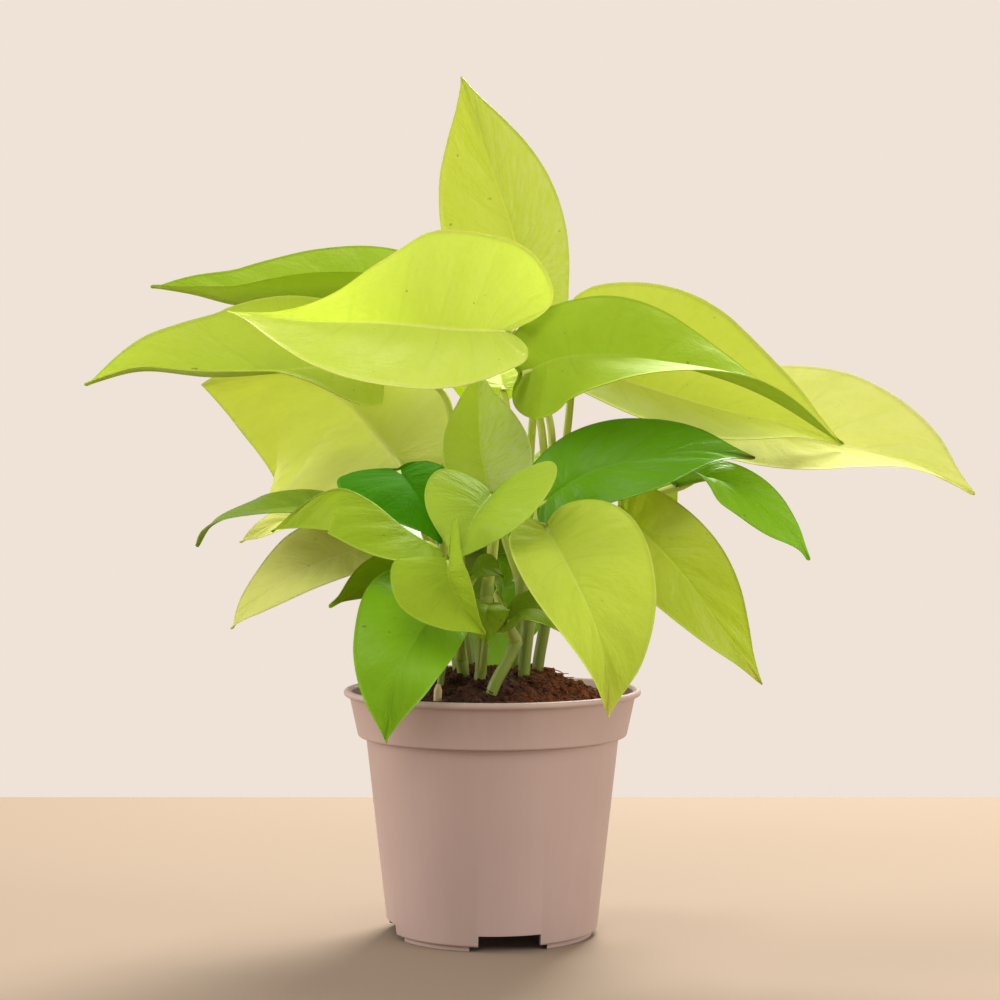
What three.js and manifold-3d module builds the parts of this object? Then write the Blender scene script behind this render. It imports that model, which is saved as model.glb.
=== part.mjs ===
// A young golden pothos in a moulded plastic nursery pot, in millimetres, +Z up.
// Each leaf is one solid: a heart-shaped blade on its own petiole. The petioles leave short vines,
// the vines stand in plain holes in the soil, and the soil fills the pot.
// The surface that the pot stands on is z = 0, and the leaves' places are measured from the pot's axis.
import * as THREE from 'three';
import { mergeVertices } from 'three/addons/utils/BufferGeometryUtils.js';
import Module from 'manifold-3d';

const wasm = await Module();
wasm.setup();

// Driving sizes
const CLEARANCE = 0.3; // between pieces that touch
const POT_AXIS = [-15.5, -4]; // the origin lies under the middle of the leaves' spread
const RIM_RADIUS = 52.7;
const POT_HEIGHT = 86.5;
const BAND_TOP_RADIUS = 50.7;
const BAND_FOOT_RADIUS = 47.7;
const BAND_FOOT_HEIGHT = 70;
const BODY_TOP_RADIUS = 44.7;
const BODY_FOOT_RADIUS = 37.2;
const FOOT_RING_RADIUS = 35.8;
const FOOT_RING_HEIGHT = 1.7;
const POT_WALL = 1.2;
const FLOOR_UNDERSIDE = 6.6;
const FLOOR_TOP = 8;
const POT_SIDES = 32;
const NOTCH = { count: 4, turn: 9.6, width: 21.6, height: 5.75, ringWidth: 27 };
const DRAIN = { count: 6, radius: 3.5, circle: 21, sides: 12 };
const SOIL_EDGE = 79; // height where the soil meets the pot's wall
const SOIL_CROWN = 92;
const SOIL_LUMP = 1.3; // height of the soil's lumps
const BLADE_THICKNESS = 0.7;
const KEEL_DEPTH = 0.6; // how far the midrib stands proud under the blade, at its base
const BLADE_ARCH = 0.4; // radians that each half of a blade bends down on its way to the margin
const VEIN_SWEEP = 2.4; // powers that sweep the side veins towards the tip and bow them
const VEIN_BOW = 1.3;
const WAVE_HEIGHT = 0.6; // the margin's waves, and how many there are along each half
const WAVE_COUNT = 2.3;
const WAVE_SHIFT = 0.37; // share of a wave between the left and the right margin
const PETIOLE_RADIUS = 1.35;
const PETIOLE_SIDES = 5;
const JOINT_DEPTH = 0.7; // how far under the blade a petiole bends, and how far along it ends
const JOINT_REACH = 5;
const VINE_RADIUS = 2.1;
const VINE_SIDES = 8;
const VINE_FOOT = 60; // height of each vine's buried end
const CURVE_STEPS = 200; // samples used to step evenly along a curve

const { degToRad, lerp, clamp, smoothstep } = THREE.MathUtils;
const point = (p) => new THREE.Vector3(...p);

// Solids

function solidFrom(positions, triangles) {
  const loose = new THREE.BufferGeometry();
  loose.setAttribute('position', new THREE.Float32BufferAttribute(positions, 3));
  loose.setIndex(triangles);
  return solidOf(loose);
}

function solidOf(geometry) {
  for (const name of Object.keys(geometry.attributes)) {
    if (name !== 'position') geometry.deleteAttribute(name);
  }
  const merged = mergeVertices(geometry, 1e-4);
  const index = merged.index.array;
  const kept = [];
  for (let i = 0; i < index.length; i += 3) {
    const [a, b, c] = [index[i], index[i + 1], index[i + 2]];
    if (a !== b && b !== c && c !== a) kept.push(a, b, c);
  }
  return new wasm.Manifold(new wasm.Mesh({
    numProp: 3,
    vertProperties: new Float32Array(merged.attributes.position.array),
    triVerts: new Uint32Array(kept),
  }));
}

function geometryOf(solid) {
  const mesh = solid.getMesh();
  const geometry = new THREE.BufferGeometry();
  geometry.setAttribute('position', new THREE.Float32BufferAttribute(mesh.vertProperties, 3));
  geometry.setIndex(Array.from(mesh.triVerts));
  geometry.computeVertexNormals();
  return geometry;
}

// A solid turned from a closed profile of [radius, height] points.
function turned(profile, shape = (p) => p) {
  const points = profile.map(([radius, height]) => new THREE.Vector2(radius, height));
  const geometry = new THREE.LatheGeometry(points, POT_SIDES).rotateX(Math.PI / 2);
  const places = geometry.attributes.position;
  for (let i = 0; i < places.count; i++) {
    const moved = shape(new THREE.Vector3().fromBufferAttribute(places, i));
    places.setXYZ(i, moved.x, moved.y, moved.z);
  }
  return solidOf(geometry);
}

// A closed round tube along a curve. radiusAt gives the radius at a share of the length.
function tube(curve, radiusAt, sides, steps) {
  curve.arcLengthDivisions = CURVE_STEPS;
  const frames = curve.computeFrenetFrames(steps, false);
  const positions = [];
  const triangles = [];
  for (let i = 0; i <= steps; i++) {
    const centre = curve.getPointAt(i / steps);
    for (let j = 0; j < sides; j++) {
      const turn = (2 * Math.PI * j) / sides;
      const spoke = frames.normals[i].clone().multiplyScalar(Math.cos(turn))
        .addScaledVector(frames.binormals[i], Math.sin(turn));
      positions.push(...centre.clone().addScaledVector(spoke, radiusAt(i / steps)).toArray());
    }
  }
  const ring = (i, j) => i * sides + (j % sides);
  for (let i = 0; i < steps; i++) {
    for (let j = 0; j < sides; j++) {
      triangles.push(ring(i, j), ring(i, j + 1), ring(i + 1, j));
      triangles.push(ring(i, j + 1), ring(i + 1, j + 1), ring(i + 1, j));
    }
  }
  for (let j = 1; j < sides - 1; j++) {
    triangles.push(ring(0, 0), ring(0, j + 1), ring(0, j));
    triangles.push(ring(steps, 0), ring(steps, j), ring(steps, j + 1));
  }
  return solidFrom(positions, triangles);
}

// The pot: foot ring, tapered body, a stepped band under a rolled lip

const wallIn = (radius) => radius - POT_WALL;

const POT_PROFILE = [
  [0, FLOOR_UNDERSIDE], [FOOT_RING_RADIUS - POT_WALL, FLOOR_UNDERSIDE],
  [FOOT_RING_RADIUS - POT_WALL, 0], [FOOT_RING_RADIUS, 0],
  [FOOT_RING_RADIUS, FOOT_RING_HEIGHT], [BODY_FOOT_RADIUS - 0.5, FOOT_RING_HEIGHT],
  [BODY_FOOT_RADIUS, FOOT_RING_HEIGHT + 1], [BODY_TOP_RADIUS, BAND_FOOT_HEIGHT - 1],
  [BAND_FOOT_RADIUS - 0.9, BAND_FOOT_HEIGHT], [BAND_FOOT_RADIUS, BAND_FOOT_HEIGHT + 1],
  [BAND_TOP_RADIUS, POT_HEIGHT - 2.3], [RIM_RADIUS - 0.4, POT_HEIGHT - 2],
  [RIM_RADIUS, POT_HEIGHT - 1.2], [RIM_RADIUS - 0.3, POT_HEIGHT - 0.3], [RIM_RADIUS - 1, POT_HEIGHT],
  [wallIn(BAND_TOP_RADIUS) + 0.6, POT_HEIGHT - 0.3], [wallIn(BAND_TOP_RADIUS), POT_HEIGHT - 2],
  [wallIn(BAND_FOOT_RADIUS), BAND_FOOT_HEIGHT + 1.5], [wallIn(BODY_TOP_RADIUS), BAND_FOOT_HEIGHT - 0.8],
  [wallIn(BODY_FOOT_RADIUS) + 0.6, FLOOR_TOP + 0.6], [wallIn(BODY_FOOT_RADIUS) - 0.2, FLOOR_TOP],
  [0, FLOOR_TOP],
];

// A box that reaches out through the foot, standing on the ground under the wall
function footCutter(width, height, turn) {
  const reach = 20;
  const below = 1;
  const box = new THREE.BoxGeometry(width, reach, height + below);
  box.translate(0, -FOOT_RING_RADIUS, (height - below) / 2).rotateZ(turn);
  return solidOf(box);
}

function drainCutter(x, y) {
  const cylinder = new THREE.CylinderGeometry(DRAIN.radius, DRAIN.radius, 2 * FLOOR_TOP, DRAIN.sides);
  return solidOf(cylinder.rotateX(Math.PI / 2).translate(x, y, FLOOR_TOP));
}

function potSolid() {
  let pot = turned(POT_PROFILE);
  for (let i = 0; i < NOTCH.count; i++) {
    const turn = degToRad(NOTCH.turn) + (2 * Math.PI * i) / NOTCH.count;
    pot = pot.subtract(footCutter(NOTCH.width, NOTCH.height, turn));
    pot = pot.subtract(footCutter(NOTCH.ringWidth, FOOT_RING_HEIGHT, turn));
  }
  for (let i = 0; i < DRAIN.count; i++) {
    const turn = (2 * Math.PI * i) / DRAIN.count;
    pot = pot.subtract(drainCutter(DRAIN.circle * Math.cos(turn), DRAIN.circle * Math.sin(turn)));
  }
  return pot.subtract(drainCutter(0, 0));
}

// The soil: a lumpy dome of damp coir that fills the pot

const soilIn = (radius) => wallIn(radius) - CLEARANCE - 0.1;

// Height of the soil's surface at a place, measured from the pot's axis
function soilHeight(x, y) {
  const out = Math.hypot(x, y) / soilIn(BAND_FOOT_RADIUS + 1.5);
  const dome = lerp(SOIL_CROWN, SOIL_EDGE, smoothstep(out, 0.35, 1));
  const lump = Math.sin(0.31 * x + 1.3) * Math.sin(0.27 * y + 0.4) + 0.6 * Math.sin(0.53 * x - 0.47 * y);
  return dome + SOIL_LUMP * lump * (1 - smoothstep(out, 0.8, 1));
}

function soilSolid() {
  const bed = [
    [0, FLOOR_TOP + CLEARANCE], [soilIn(BODY_FOOT_RADIUS) - 0.3, FLOOR_TOP + CLEARANCE],
    [soilIn(BODY_FOOT_RADIUS) + 0.5, FLOOR_TOP + 1.2],
    [soilIn(BODY_TOP_RADIUS), BAND_FOOT_HEIGHT - 0.6],
    [soilIn(BAND_FOOT_RADIUS), BAND_FOOT_HEIGHT + 2], [soilIn(BAND_FOOT_RADIUS + 1.5), SOIL_EDGE - 1],
  ];
  const rings = 7;
  const outermost = soilIn(BAND_FOOT_RADIUS + 1.5) - 0.8;
  for (let i = 0; i <= rings; i++) bed.push([outermost * (1 - i / rings), SOIL_EDGE]);
  const onTop = (p) => (p.z > SOIL_EDGE - 0.5 ? new THREE.Vector3(p.x, p.y, soilHeight(p.x, p.y)) : p);
  const soil = turned(bed, onTop);
  return Object.values(VINES).reduce((rest, vine) => rest.subtract(vineSleeve(vine)), soil);
}

// The vines: short stems that stand in the soil and carry the petioles

const VINES = {
  vine_front_left: vine([-10, -12], [[-10, -13, 92], [-13, -16, 108], [-15, -19, 122]]),
  vine_left: vine([-12, 1], [[-12, 1, 92], [-15, 2, 112], [-18, 1, 134]]),
  vine_front: vine([-4, -19], [[-4, -20, 92], [-3, -23, 110], [-1, -26, 128]]),
  vine_slanting: vine([-1, -28], [[0, -28, 88], [5, -27, 98], [9, -26, 107]]),
  vine_front_right: vine([11, -13], [[11, -13, 92], [13, -15, 112], [15, -16, 136]]),
  vine_right: vine([16, 1], [[16, 1, 92], [19, 0, 112], [21, -2, 142]]),
  vine_back_left: vine([-8, 16], [[-8, 16, 92], [-11, 18, 114], [-13, 20, 142]]),
  vine_back_right: vine([8, 15], [[8, 15, 92], [10, 17, 114], [12, 18, 146]]),
  stub_dried: vine([-18.5, -32], [[-18.6, -32, 85], [-18.3, -32, 91]], 1.4),
  shoot_young: vine([-18, -21], [[-17.8, -21, 91], [-16.6, -21, 98]], 1.2),
};

function vine([x, y], above, radius = VINE_RADIUS) {
  const buried = [[x, y, VINE_FOOT], [x, y, (VINE_FOOT + SOIL_EDGE) / 2]];
  return { route: [...buried, ...above], radius, steps: 6 };
}

function vineCurve({ route }, extra = 0) {
  const points = route.map(point);
  points[0].z -= extra;
  points[points.length - 1].z += extra;
  return new THREE.CatmullRomCurve3(points);
}

function vineSolid(stem) {
  const radiusAt = (share) => stem.radius * (share < 1 ? 1 : 0.7);
  return tube(vineCurve(stem), radiusAt, VINE_SIDES, stem.steps);
}

// The room that a vine takes from the soil and the petioles round it
function vineSleeve(stem) {
  return tube(vineCurve(stem, CLEARANCE), () => stem.radius + CLEARANCE, VINE_SIDES, stem.steps);
}

// Leaf blades

// Half of a blade's outline: how far along the midrib, and how far out, in shares of its length
// and half width. It runs from the notch at the petiole, round the lobe, to the drawn-out tip.
const halfOutline = (points) => new THREE.SplineCurve(points.map((p) => new THREE.Vector2(...p)));
const OUTLINE = halfOutline([
  [0, 0], [-0.06, 0.16], [-0.08, 0.4], [-0.04, 0.66], [0.06, 0.87], [0.22, 0.99],
  [0.4, 0.97], [0.58, 0.79], [0.74, 0.5], [0.86, 0.24], [0.94, 0.09], [1, 0],
]);
// Halves with a shape of their own: the broad leaf's lower and upper half, and the right leaf's upper
const BROAD_LOWER = halfOutline([
  [0, 0], [-0.03, 0.15], [-0.04, 0.32], [-0.01, 0.5], [0.08, 0.66], [0.2, 0.88],
  [0.33, 1], [0.47, 0.93], [0.62, 0.67], [0.77, 0.34], [0.9, 0.11], [1, 0],
]);
const BROAD_UPPER = halfOutline([
  [0, 0], [-0.1, 0.12], [-0.17, 0.3], [-0.165, 0.52], [-0.1, 0.78], [0, 0.93],
  [0.14, 1], [0.3, 0.95], [0.44, 0.63], [0.6, 0.28], [0.8, 0.07], [1, 0],
]);
const RIGHT_UPPER = halfOutline([
  [0, 0], [-0.03, 0.12], [-0.05, 0.3], [-0.03, 0.52], [0.03, 0.75], [0.14, 0.93],
  [0.27, 1], [0.43, 0.86], [0.6, 0.58], [0.75, 0.31], [0.88, 0.11], [1, 0],
]);
const VEINS = OUTLINE.points.length - 1;
const ACROSS = [-1, -0.5, 0, 0.5, 1];

// A leaf's midrib with the frame that its blade is hung on.
function ribOf(leaf) {
  const curve = new THREE.CatmullRomCurve3(leaf.rib.map(point));
  curve.arcLengthDivisions = CURVE_STEPS;
  const length = curve.getLength();
  const frameAt = (share) => {
    const along = curve.getTangentAt(share);
    const face = point(leaf.face);
    face.addScaledVector(along, -face.dot(along)).normalize();
    const right = along.clone().cross(face);
    return { centre: curve.getPointAt(share), along, face, right };
  };
  return { length, frameAt };
}

// The fold at a share of the midrib, on a line through [base, tip] or a curve through
// [base, middle, tip].
function foldAt(angles, share) {
  if (angles.length === 2) return lerp(...angles, share);
  const [base, middle, tip] = angles;
  return base * (1 - share) * (1 - 2 * share) + tip * share * (2 * share - 1)
    + 4 * middle * share * (1 - share);
}

// The point of the blade's upper side that lies a share across (-1 left margin, 1 right margin)
// on the side vein that ends at a share of the outline. Each half's margin lies at its fold angle
// from the midrib, the half arches between the two, and its lobe may droop. A half with full over 1
// is drawn out towards the tip, and heart is how far its lobe reaches back.
function bladePoint(leaf, rib, across, vein) {
  const side = across < 0 ? 0 : 1;
  const edge = (leaf.outline?.[side] ?? OUTLINE).getPoint(vein);
  const reach = Math.abs(across);
  const full = (leaf.full ?? [1, 1])[side];
  const heart = (leaf.heart ?? [1, 1])[side];
  const margin = edge.x > 0 ? edge.x ** full : heart * edge.x;
  const along = lerp(vein ** VEIN_SWEEP, margin, reach ** VEIN_BOW);
  const share = clamp(along, 0, 1);
  const { centre, along: forward, face, right } = rib.frameAt(share);
  const lobe = (leaf.lobe ?? [0, 0])[side] * (1 - smoothstep(along, -0.1, 0.35));
  const fold = degToRad(foldAt(leaf.fold[side], share) + lobe);
  const start = fold + (BLADE_ARCH * edge.y) / 2;
  const end = start - BLADE_ARCH * edge.y * reach;
  const radius = leaf.half[side] / BLADE_ARCH;
  const sideways = radius * (Math.sin(start) - Math.sin(end));
  const upward = radius * (Math.cos(end) - Math.cos(start));
  const ripple = WAVE_HEIGHT * reach ** 2 * Math.sin(2 * Math.PI * (WAVE_COUNT * vein + WAVE_SHIFT * side));
  return centre.addScaledVector(forward, rib.length * (along - share))
    .addScaledVector(right, (side ? 1 : -1) * sideways)
    .addScaledVector(face, upward + ripple);
}

function bladeNormal(leaf, rib, across, vein) {
  const step = 0.02;
  const at = (a, v) => bladePoint(leaf, rib, clamp(a, -1, 1), clamp(v, 0, 1));
  const width = at(across + step, vein).sub(at(across - step, vein));
  const length = at(across, vein + step).sub(at(across, vein - step));
  return width.cross(length).normalize();
}

// The blade's two faces share one grid: a row for each side vein, closed to a point at both ends.
function bladeSolid(leaf, rib) {
  const columns = ACROSS.length;
  const rows = VEINS - 1;
  const upper = [];
  const lower = [];
  for (let row = 1; row <= rows; row++) {
    const vein = row / VEINS;
    for (const across of ACROSS) {
      const place = bladePoint(leaf, rib, across, vein);
      const depth = BLADE_THICKNESS + (across === 0 ? KEEL_DEPTH * (1 - vein) : 0);
      upper.push(place);
      lower.push(place.clone().addScaledVector(bladeNormal(leaf, rib, across, vein), -depth));
    }
  }
  const ends = [rib.frameAt(0), rib.frameAt(1)];
  ends.forEach(({ centre, face }, i) => {
    upper.push(centre);
    lower.push(centre.clone().addScaledVector(face, -BLADE_THICKNESS - (i ? 0 : KEEL_DEPTH)));
  });
  const count = upper.length;
  const [notch, tip] = [count - 2, count - 1];
  const at = (row, column) => row * columns + column;
  const triangles = [];
  const sheet = (a, b, c) => triangles.push(a, b, c, count + a, count + c, count + b);
  const rim = (a, b) => triangles.push(a, b, count + a, b, count + b, count + a);
  for (let j = 0; j < columns - 1; j++) {
    sheet(notch, at(0, j + 1), at(0, j));
    sheet(tip, at(rows - 1, j), at(rows - 1, j + 1));
    for (let i = 0; i < rows - 1; i++) {
      sheet(at(i, j), at(i, j + 1), at(i + 1, j));
      sheet(at(i, j + 1), at(i + 1, j + 1), at(i + 1, j));
    }
  }
  const left = [notch, ...upper.slice(0, rows).map((_, i) => at(i, 0)), tip];
  const right = [tip, ...upper.slice(0, rows).map((_, i) => at(rows - 1 - i, columns - 1)), notch];
  for (const edge of [left, right]) {
    for (let i = 0; i < edge.length - 1; i++) rim(edge[i], edge[i + 1]);
  }
  return solidFrom([...upper, ...lower].flatMap((p) => p.toArray()), triangles);
}

// A petiole runs from the middle of its vine, by way of its own points, to the midrib's underside.
function petioleCurve(leaf, rib) {
  const start = vineCurve(VINES[leaf.vine]).getPointAt(leaf.at);
  const { centre, along, face } = rib.frameAt(0);
  const under = (forward, depth) => centre.clone()
    .addScaledVector(along, forward).addScaledVector(face, -depth);
  const joint = under(0, BLADE_THICKNESS + JOINT_DEPTH);
  const end = under(JOINT_REACH, BLADE_THICKNESS);
  return new THREE.CatmullRomCurve3([start, ...leaf.via.map(point), joint, end]);
}

// The petiole is thickest at the vine and ends in a thin point inside the midrib.
function leafSolid(leaf) {
  const rib = ribOf(leaf);
  const petiole = petioleCurve(leaf, rib);
  const thick = leaf.stalk ?? PETIOLE_RADIUS;
  const radiusAt = (share) => thick * (share < 1 ? lerp(1.2, 0.9, share) : 0.4);
  const steps = Math.round(4 + petiole.getLength() / 25);
  const whole = bladeSolid(leaf, rib).add(tube(petiole, radiusAt, PETIOLE_SIDES, steps));
  return whole.subtract(vineSleeve(VINES[leaf.vine]));
}

// The leaves, from the crown down. rib runs from the notch to the tip; face is what the upper side
// looks towards. half, fold, lobe, full, heart and outline give the left half first, seen from above
// with the tip ahead. Folds are in degrees, and up is positive.
const BOTH = (angle) => [[angle, angle], [angle, angle]];

const LEAVES = {
  leaf_crown: {
    vine: 'vine_back_right', at: 0.9, via: [[14, 8, 176], [16, 8, 210]],
    rib: [[13, 10, 222], [8, 12, 247], [-2, 10, 277], [-11, 4, 304]],
    face: [0, -1, 0.1], half: [27, 20], fold: BOTH(20), full: [0.9, 0.8], colour: 'yellow',
  },
  leaf_broad_left: {
    vine: 'vine_front_right', at: 0.97, via: [[17, -12, 150], [18, -11, 172], [13, -11, 198], [6, -18, 214]],
    rib: [[5, -37, 211], [-11, -43, 211], [-37, -48, 213], [-64, -44, 214], [-90, -34, 218]],
    face: [0, -0.89, 0.45], half: [36, 34], fold: BOTH(25), outline: [BROAD_LOWER, BROAD_UPPER],
    colour: 'yellow',
  },
  leaf_back_left: {
    vine: 'vine_back_left', at: 0.93, via: [[-9, 17, 178], [-12, 19, 212]],
    rib: [[-29, 22, 226], [-61, 21, 224], [-91, 19, 224], [-109, 16, 228], [-123, 12, 230]],
    face: [0, -0.1, 1], half: [24, 29], fold: [[30, 30], [46, 46]], colour: 'green',
  },
  leaf_left: {
    vine: 'vine_left', at: 0.97, via: [[-16, 2, 150], [-14, 1, 170], [-18, -1, 192]],
    rib: [[-41, -8, 202], [-68, -14, 199], [-97, -14, 197], [-123, -10, 199], [-144, -4, 194]],
    face: [0, -0.52, 0.85], half: [20, 35], fold: [[20, 45], [21, 21]], lobe: [-70, 0],
    full: [1, 0.85], heart: [0.2, 1], colour: 'yellow',
  },
  leaf_left_turned: {
    vine: 'vine_left', at: 0.74, via: [[-24, 7, 146]],
    rib: [[-32, 8, 165], [-41, 16, 176], [-54, 22, 189], [-74, 24, 198], [-106, 20, 195]],
    face: [-0.2, 0.95, 0.1], half: [30, 49], fold: BOTH(8), full: [1, 0.58], colour: 'yellow',
  },
  leaf_small_upright: {
    vine: 'vine_front', at: 0.92, via: [[0, -19, 142]],
    rib: [[-1, -14, 155], [-4, -10, 171], [-5, -8, 187], [-5, -12, 200]],
    face: [0, -1, 0.1], half: [14, 18], fold: BOTH(12), heart: [0.4, 1], colour: 'yellow',
  },
  leaf_right: {
    vine: 'vine_front_right', at: 0.86, via: [[20, -19, 142], [21, -17, 165], [19, -22, 184]],
    rib: [[10, -31, 197], [23, -34, 202], [40, -36, 203], [62, -35, 200], [91, -27, 191], [123, -12, 173]],
    face: [0, -0.7, 0.7], half: [25, 23], fold: [[12, 2, -40], [-30, 45, 40]],
    outline: [RIGHT_UPPER, OUTLINE], heart: [0.5, 0.6], colour: 'green',
  },
  leaf_right_behind: {
    vine: 'vine_right', at: 0.97, via: [[25, -1, 165], [28, 1, 192]],
    rib: [[29, 2, 202], [53, 6, 194], [81, 10, 186], [107, 12, 180], [126, 12, 173]],
    face: [0, -0.7, 0.7], half: [42, 32], fold: BOTH(22), full: [0.95, 1], colour: 'yellow',
  },
  leaf_far_right: {
    vine: 'vine_right', at: 0.88, via: [[38, 14, 156], [64, 25, 176]],
    rib: [[84, 26, 181], [109, 26, 176], [129, 26, 173], [152, 24, 167], [175, 18, 155]],
    face: [0, -0.6, 0.8], half: [33, 33], fold: [[20, 20], [8, 38]], full: [0.85, 1], colour: 'yellow',
  },
  leaf_dark_right: {
    vine: 'vine_front_right', at: 0.76, via: [[15, -22, 134]],
    rib: [[16, -26, 152], [33, -31, 163], [53, -31, 168], [72, -27, 171], [91, -20, 168]],
    face: [0, -0.8, 0.6], half: [17, 14], fold: [[10, 10], [-10, 5]], full: [0.9, 1], heart: [1, 0.4],
    colour: 'dark',
  },
  leaf_long_tip: {
    vine: 'vine_right', at: 0.79, via: [[40, 3, 145], [60, 3, 156]],
    rib: [[66, -2, 159], [78, -5, 161], [89, -7, 156], [100, -7, 148], [107, -6, 141], [112, -4, 132]],
    face: [0.2, -0.6, 0.8], half: [10, 14], fold: [[12, 12], [5, -5]], lobe: [0, 95], full: [0.8, 0.7],
    colour: 'dark',
  },
  leaf_hanging_right: {
    vine: 'vine_front_right', at: 0.68, via: [[14, -25, 124], [17, -39, 132]],
    rib: [[18, -47, 145], [25, -62, 132], [33, -70, 115], [37, -70, 101], [38, -64, 83]],
    face: [0, -0.9, 0.4], half: [27, 16], fold: BOTH(10), full: [1.04, 1.2], heart: [0.8, 1.2],
    colour: 'yellow',
  },
  leaf_hanging_far_right: {
    vine: 'vine_right', at: 0.68, via: [[32, -8, 140]],
    rib: [[45, -14, 150], [65, -20, 129], [79, -22, 110], [94, -15, 89]],
    face: [0.2, -0.95, 0.2], half: [17, 18], fold: BOTH(10), full: [1, 1.3], colour: 'yellow',
  },
  leaf_centre: {
    vine: 'vine_front', at: 0.84, via: [[1, -31, 142]],
    rib: [[0, -40, 156], [-6, -52, 148], [-12, -64, 134]],
    face: [0, -0.35, 0.94], half: [33, 20], fold: [[40, 24, 16], [28, 28]], full: [1.15, 1],
    heart: [1.3, 1], colour: 'green',
  },
  leaf_curled_front: {
    vine: 'vine_front_left', at: 0.95, via: [[-12, -33, 128]],
    rib: [[-14, -66, 135], [-14, -70, 130], [-12, -72, 125], [-8, -74, 118], [-2, -75, 111]],
    face: [0, -0.85, 0.5], half: [10, 19], fold: [[62, 62], [0, 0]], full: [1, 1.2], heart: [6, 0.6],
    colour: 'green',
  },
  leaf_dark_left: {
    vine: 'vine_left', at: 0.8, via: [[-27, -5, 150]],
    rib: [[-33, -11, 164], [-27, -24, 157], [-21, -33, 147], [-17, -37, 139]],
    face: [0, -0.6, 0.8], half: [14, 25], fold: BOTH(8), full: [1, 1.15], heart: [0.4, 1.2], colour: 'dark',
  },
  leaf_arched_left: {
    vine: 'vine_front_left', at: 0.8, via: [[-21, -29, 130]],
    rib: [
      [-18, -45, 138], [-28, -45, 144], [-41, -43, 154], [-51, -41, 158], [-62, -38, 154], [-75, -34, 143],
    ],
    face: [0, -0.6, 0.8], half: [20, 11], fold: [[22, -16, -18], [-105, -105]], full: [0.75, 1],
    heart: [0.5, 1], colour: 'green',
  },
  leaf_low_left: {
    vine: 'vine_left', at: 0.64, via: [[-32, -6, 138]],
    rib: [[-50, -10, 150], [-65, -14, 151], [-83, -16, 150], [-98, -12, 145], [-104, -8, 137]],
    face: [0, -0.2, 0.98], half: [20, 20], fold: BOTH(6), colour: 'green',
  },
  leaf_pale_low_left: {
    vine: 'vine_left', at: 0.54, via: [[-28, -4, 124]],
    rib: [[-43, -6, 138], [-68, -12, 128], [-85, -10, 116], [-92, -8, 108]],
    face: [-0.3, -0.6, 0.75], half: [18, 20], fold: BOTH(10), colour: 'yellow',
  },
  leaf_tip_left: {
    vine: 'vine_back_left', at: 0.72, via: [[-36, 32, 132]],
    rib: [[-60, 38, 146], [-78, 38, 145], [-94, 36, 137]],
    face: [0, -0.5, 0.85], half: [9, 9], fold: BOTH(8), colour: 'yellow',
  },
  leaf_shaded_left: {
    vine: 'vine_front_left', at: 0.7, via: [[-20, -15, 119]],
    rib: [[-25, -20, 130], [-40, -26, 126], [-56, -28, 117]],
    face: [-0.2, 0.5, 0.8], half: [14, 13], fold: BOTH(8), colour: 'dark',
  },
  leaf_hanging_left: {
    vine: 'vine_front_left', at: 0.6, via: [[-12, -27, 115]],
    rib: [[-16, -36, 121], [-24, -54, 110], [-30, -62, 99], [-33, -62, 89], [-35, -58, 74]],
    face: [0, -0.9, 0.4], half: [15, 23], fold: BOTH(10), full: [0.8, 1.1], heart: [0.3, 1], colour: 'green',
  },
  leaf_low_right: {
    vine: 'vine_slanting', at: 0.96, via: [],
    rib: [[5, -31, 112], [12, -34, 117], [20, -37, 115], [28, -41, 106]],
    face: [0, -0.5, 0.85], half: [9, 9], fold: BOTH(8), colour: 'dark',
  },
  leaf_small_centre: {
    vine: 'vine_front', at: 0.68, via: [[-8, -30, 121]],
    rib: [[-8, -37, 127], [-3, -41, 131], [4, -43, 128]],
    face: [0, -0.5, 0.85], half: [8, 8], fold: BOTH(8), stalk: 1, colour: 'dark',
  },
  leaf_small_drooping: {
    vine: 'vine_front', at: 0.46, via: [],
    rib: [[-1, -31, 118], [-2, -37, 116], [-2, -41, 105]],
    face: [0, -0.9, 0.4], half: [8, 8], fold: BOTH(8), stalk: 1, colour: 'green',
  },
  leaf_rear_high: {
    vine: 'vine_back_right', at: 0.97, via: [[8, 24, 172]],
    rib: [[4, 32, 194], [2, 47, 200], [0, 67, 198], [-5, 87.4, 182]],
    face: [0, 0.2, 1], half: [28, 28], fold: BOTH(14), colour: 'yellow',
  },
  leaf_rear_left: {
    vine: 'vine_back_left', at: 0.86, via: [[-16, 28, 155]],
    rib: [[-20, 36, 170], [-32, 52, 177], [-46, 68, 172], [-58, 80, 154]],
    face: [-0.1, 0.1, 1], half: [25, 25], fold: BOTH(14), colour: 'yellow',
  },
  leaf_rear_right: {
    vine: 'vine_back_right', at: 0.84, via: [[19, 28, 150]],
    rib: [[26, 36, 164], [42, 50, 169], [58, 64, 163], [72, 74, 146]],
    face: [0.1, 0.1, 1], half: [23, 23], fold: BOTH(14), colour: 'green',
  },
  leaf_rear_low_left: {
    vine: 'vine_back_left', at: 0.6, via: [[-12, 28, 124]],
    rib: [[-14, 36, 134], [-24, 54, 139], [-36, 68, 133], [-44, 78, 120]],
    face: [-0.1, 0.2, 1], half: [18, 18], fold: BOTH(12), colour: 'dark',
  },
  leaf_rear_low_right: {
    vine: 'vine_back_right', at: 0.6, via: [[15, 28, 118]],
    rib: [[22, 38, 130], [32, 54, 135], [44, 66, 129], [52, 74, 116]],
    face: [0.1, 0.2, 1], half: [18, 18], fold: BOTH(12), colour: 'green',
  },
  leaf_rear_low_middle: {
    vine: 'vine_back_right', at: 0.5, via: [[6, 27, 108]],
    rib: [[3, 36, 117], [1, 45, 122], [-2, 53, 110], [-4, 56, 84]],
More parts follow.
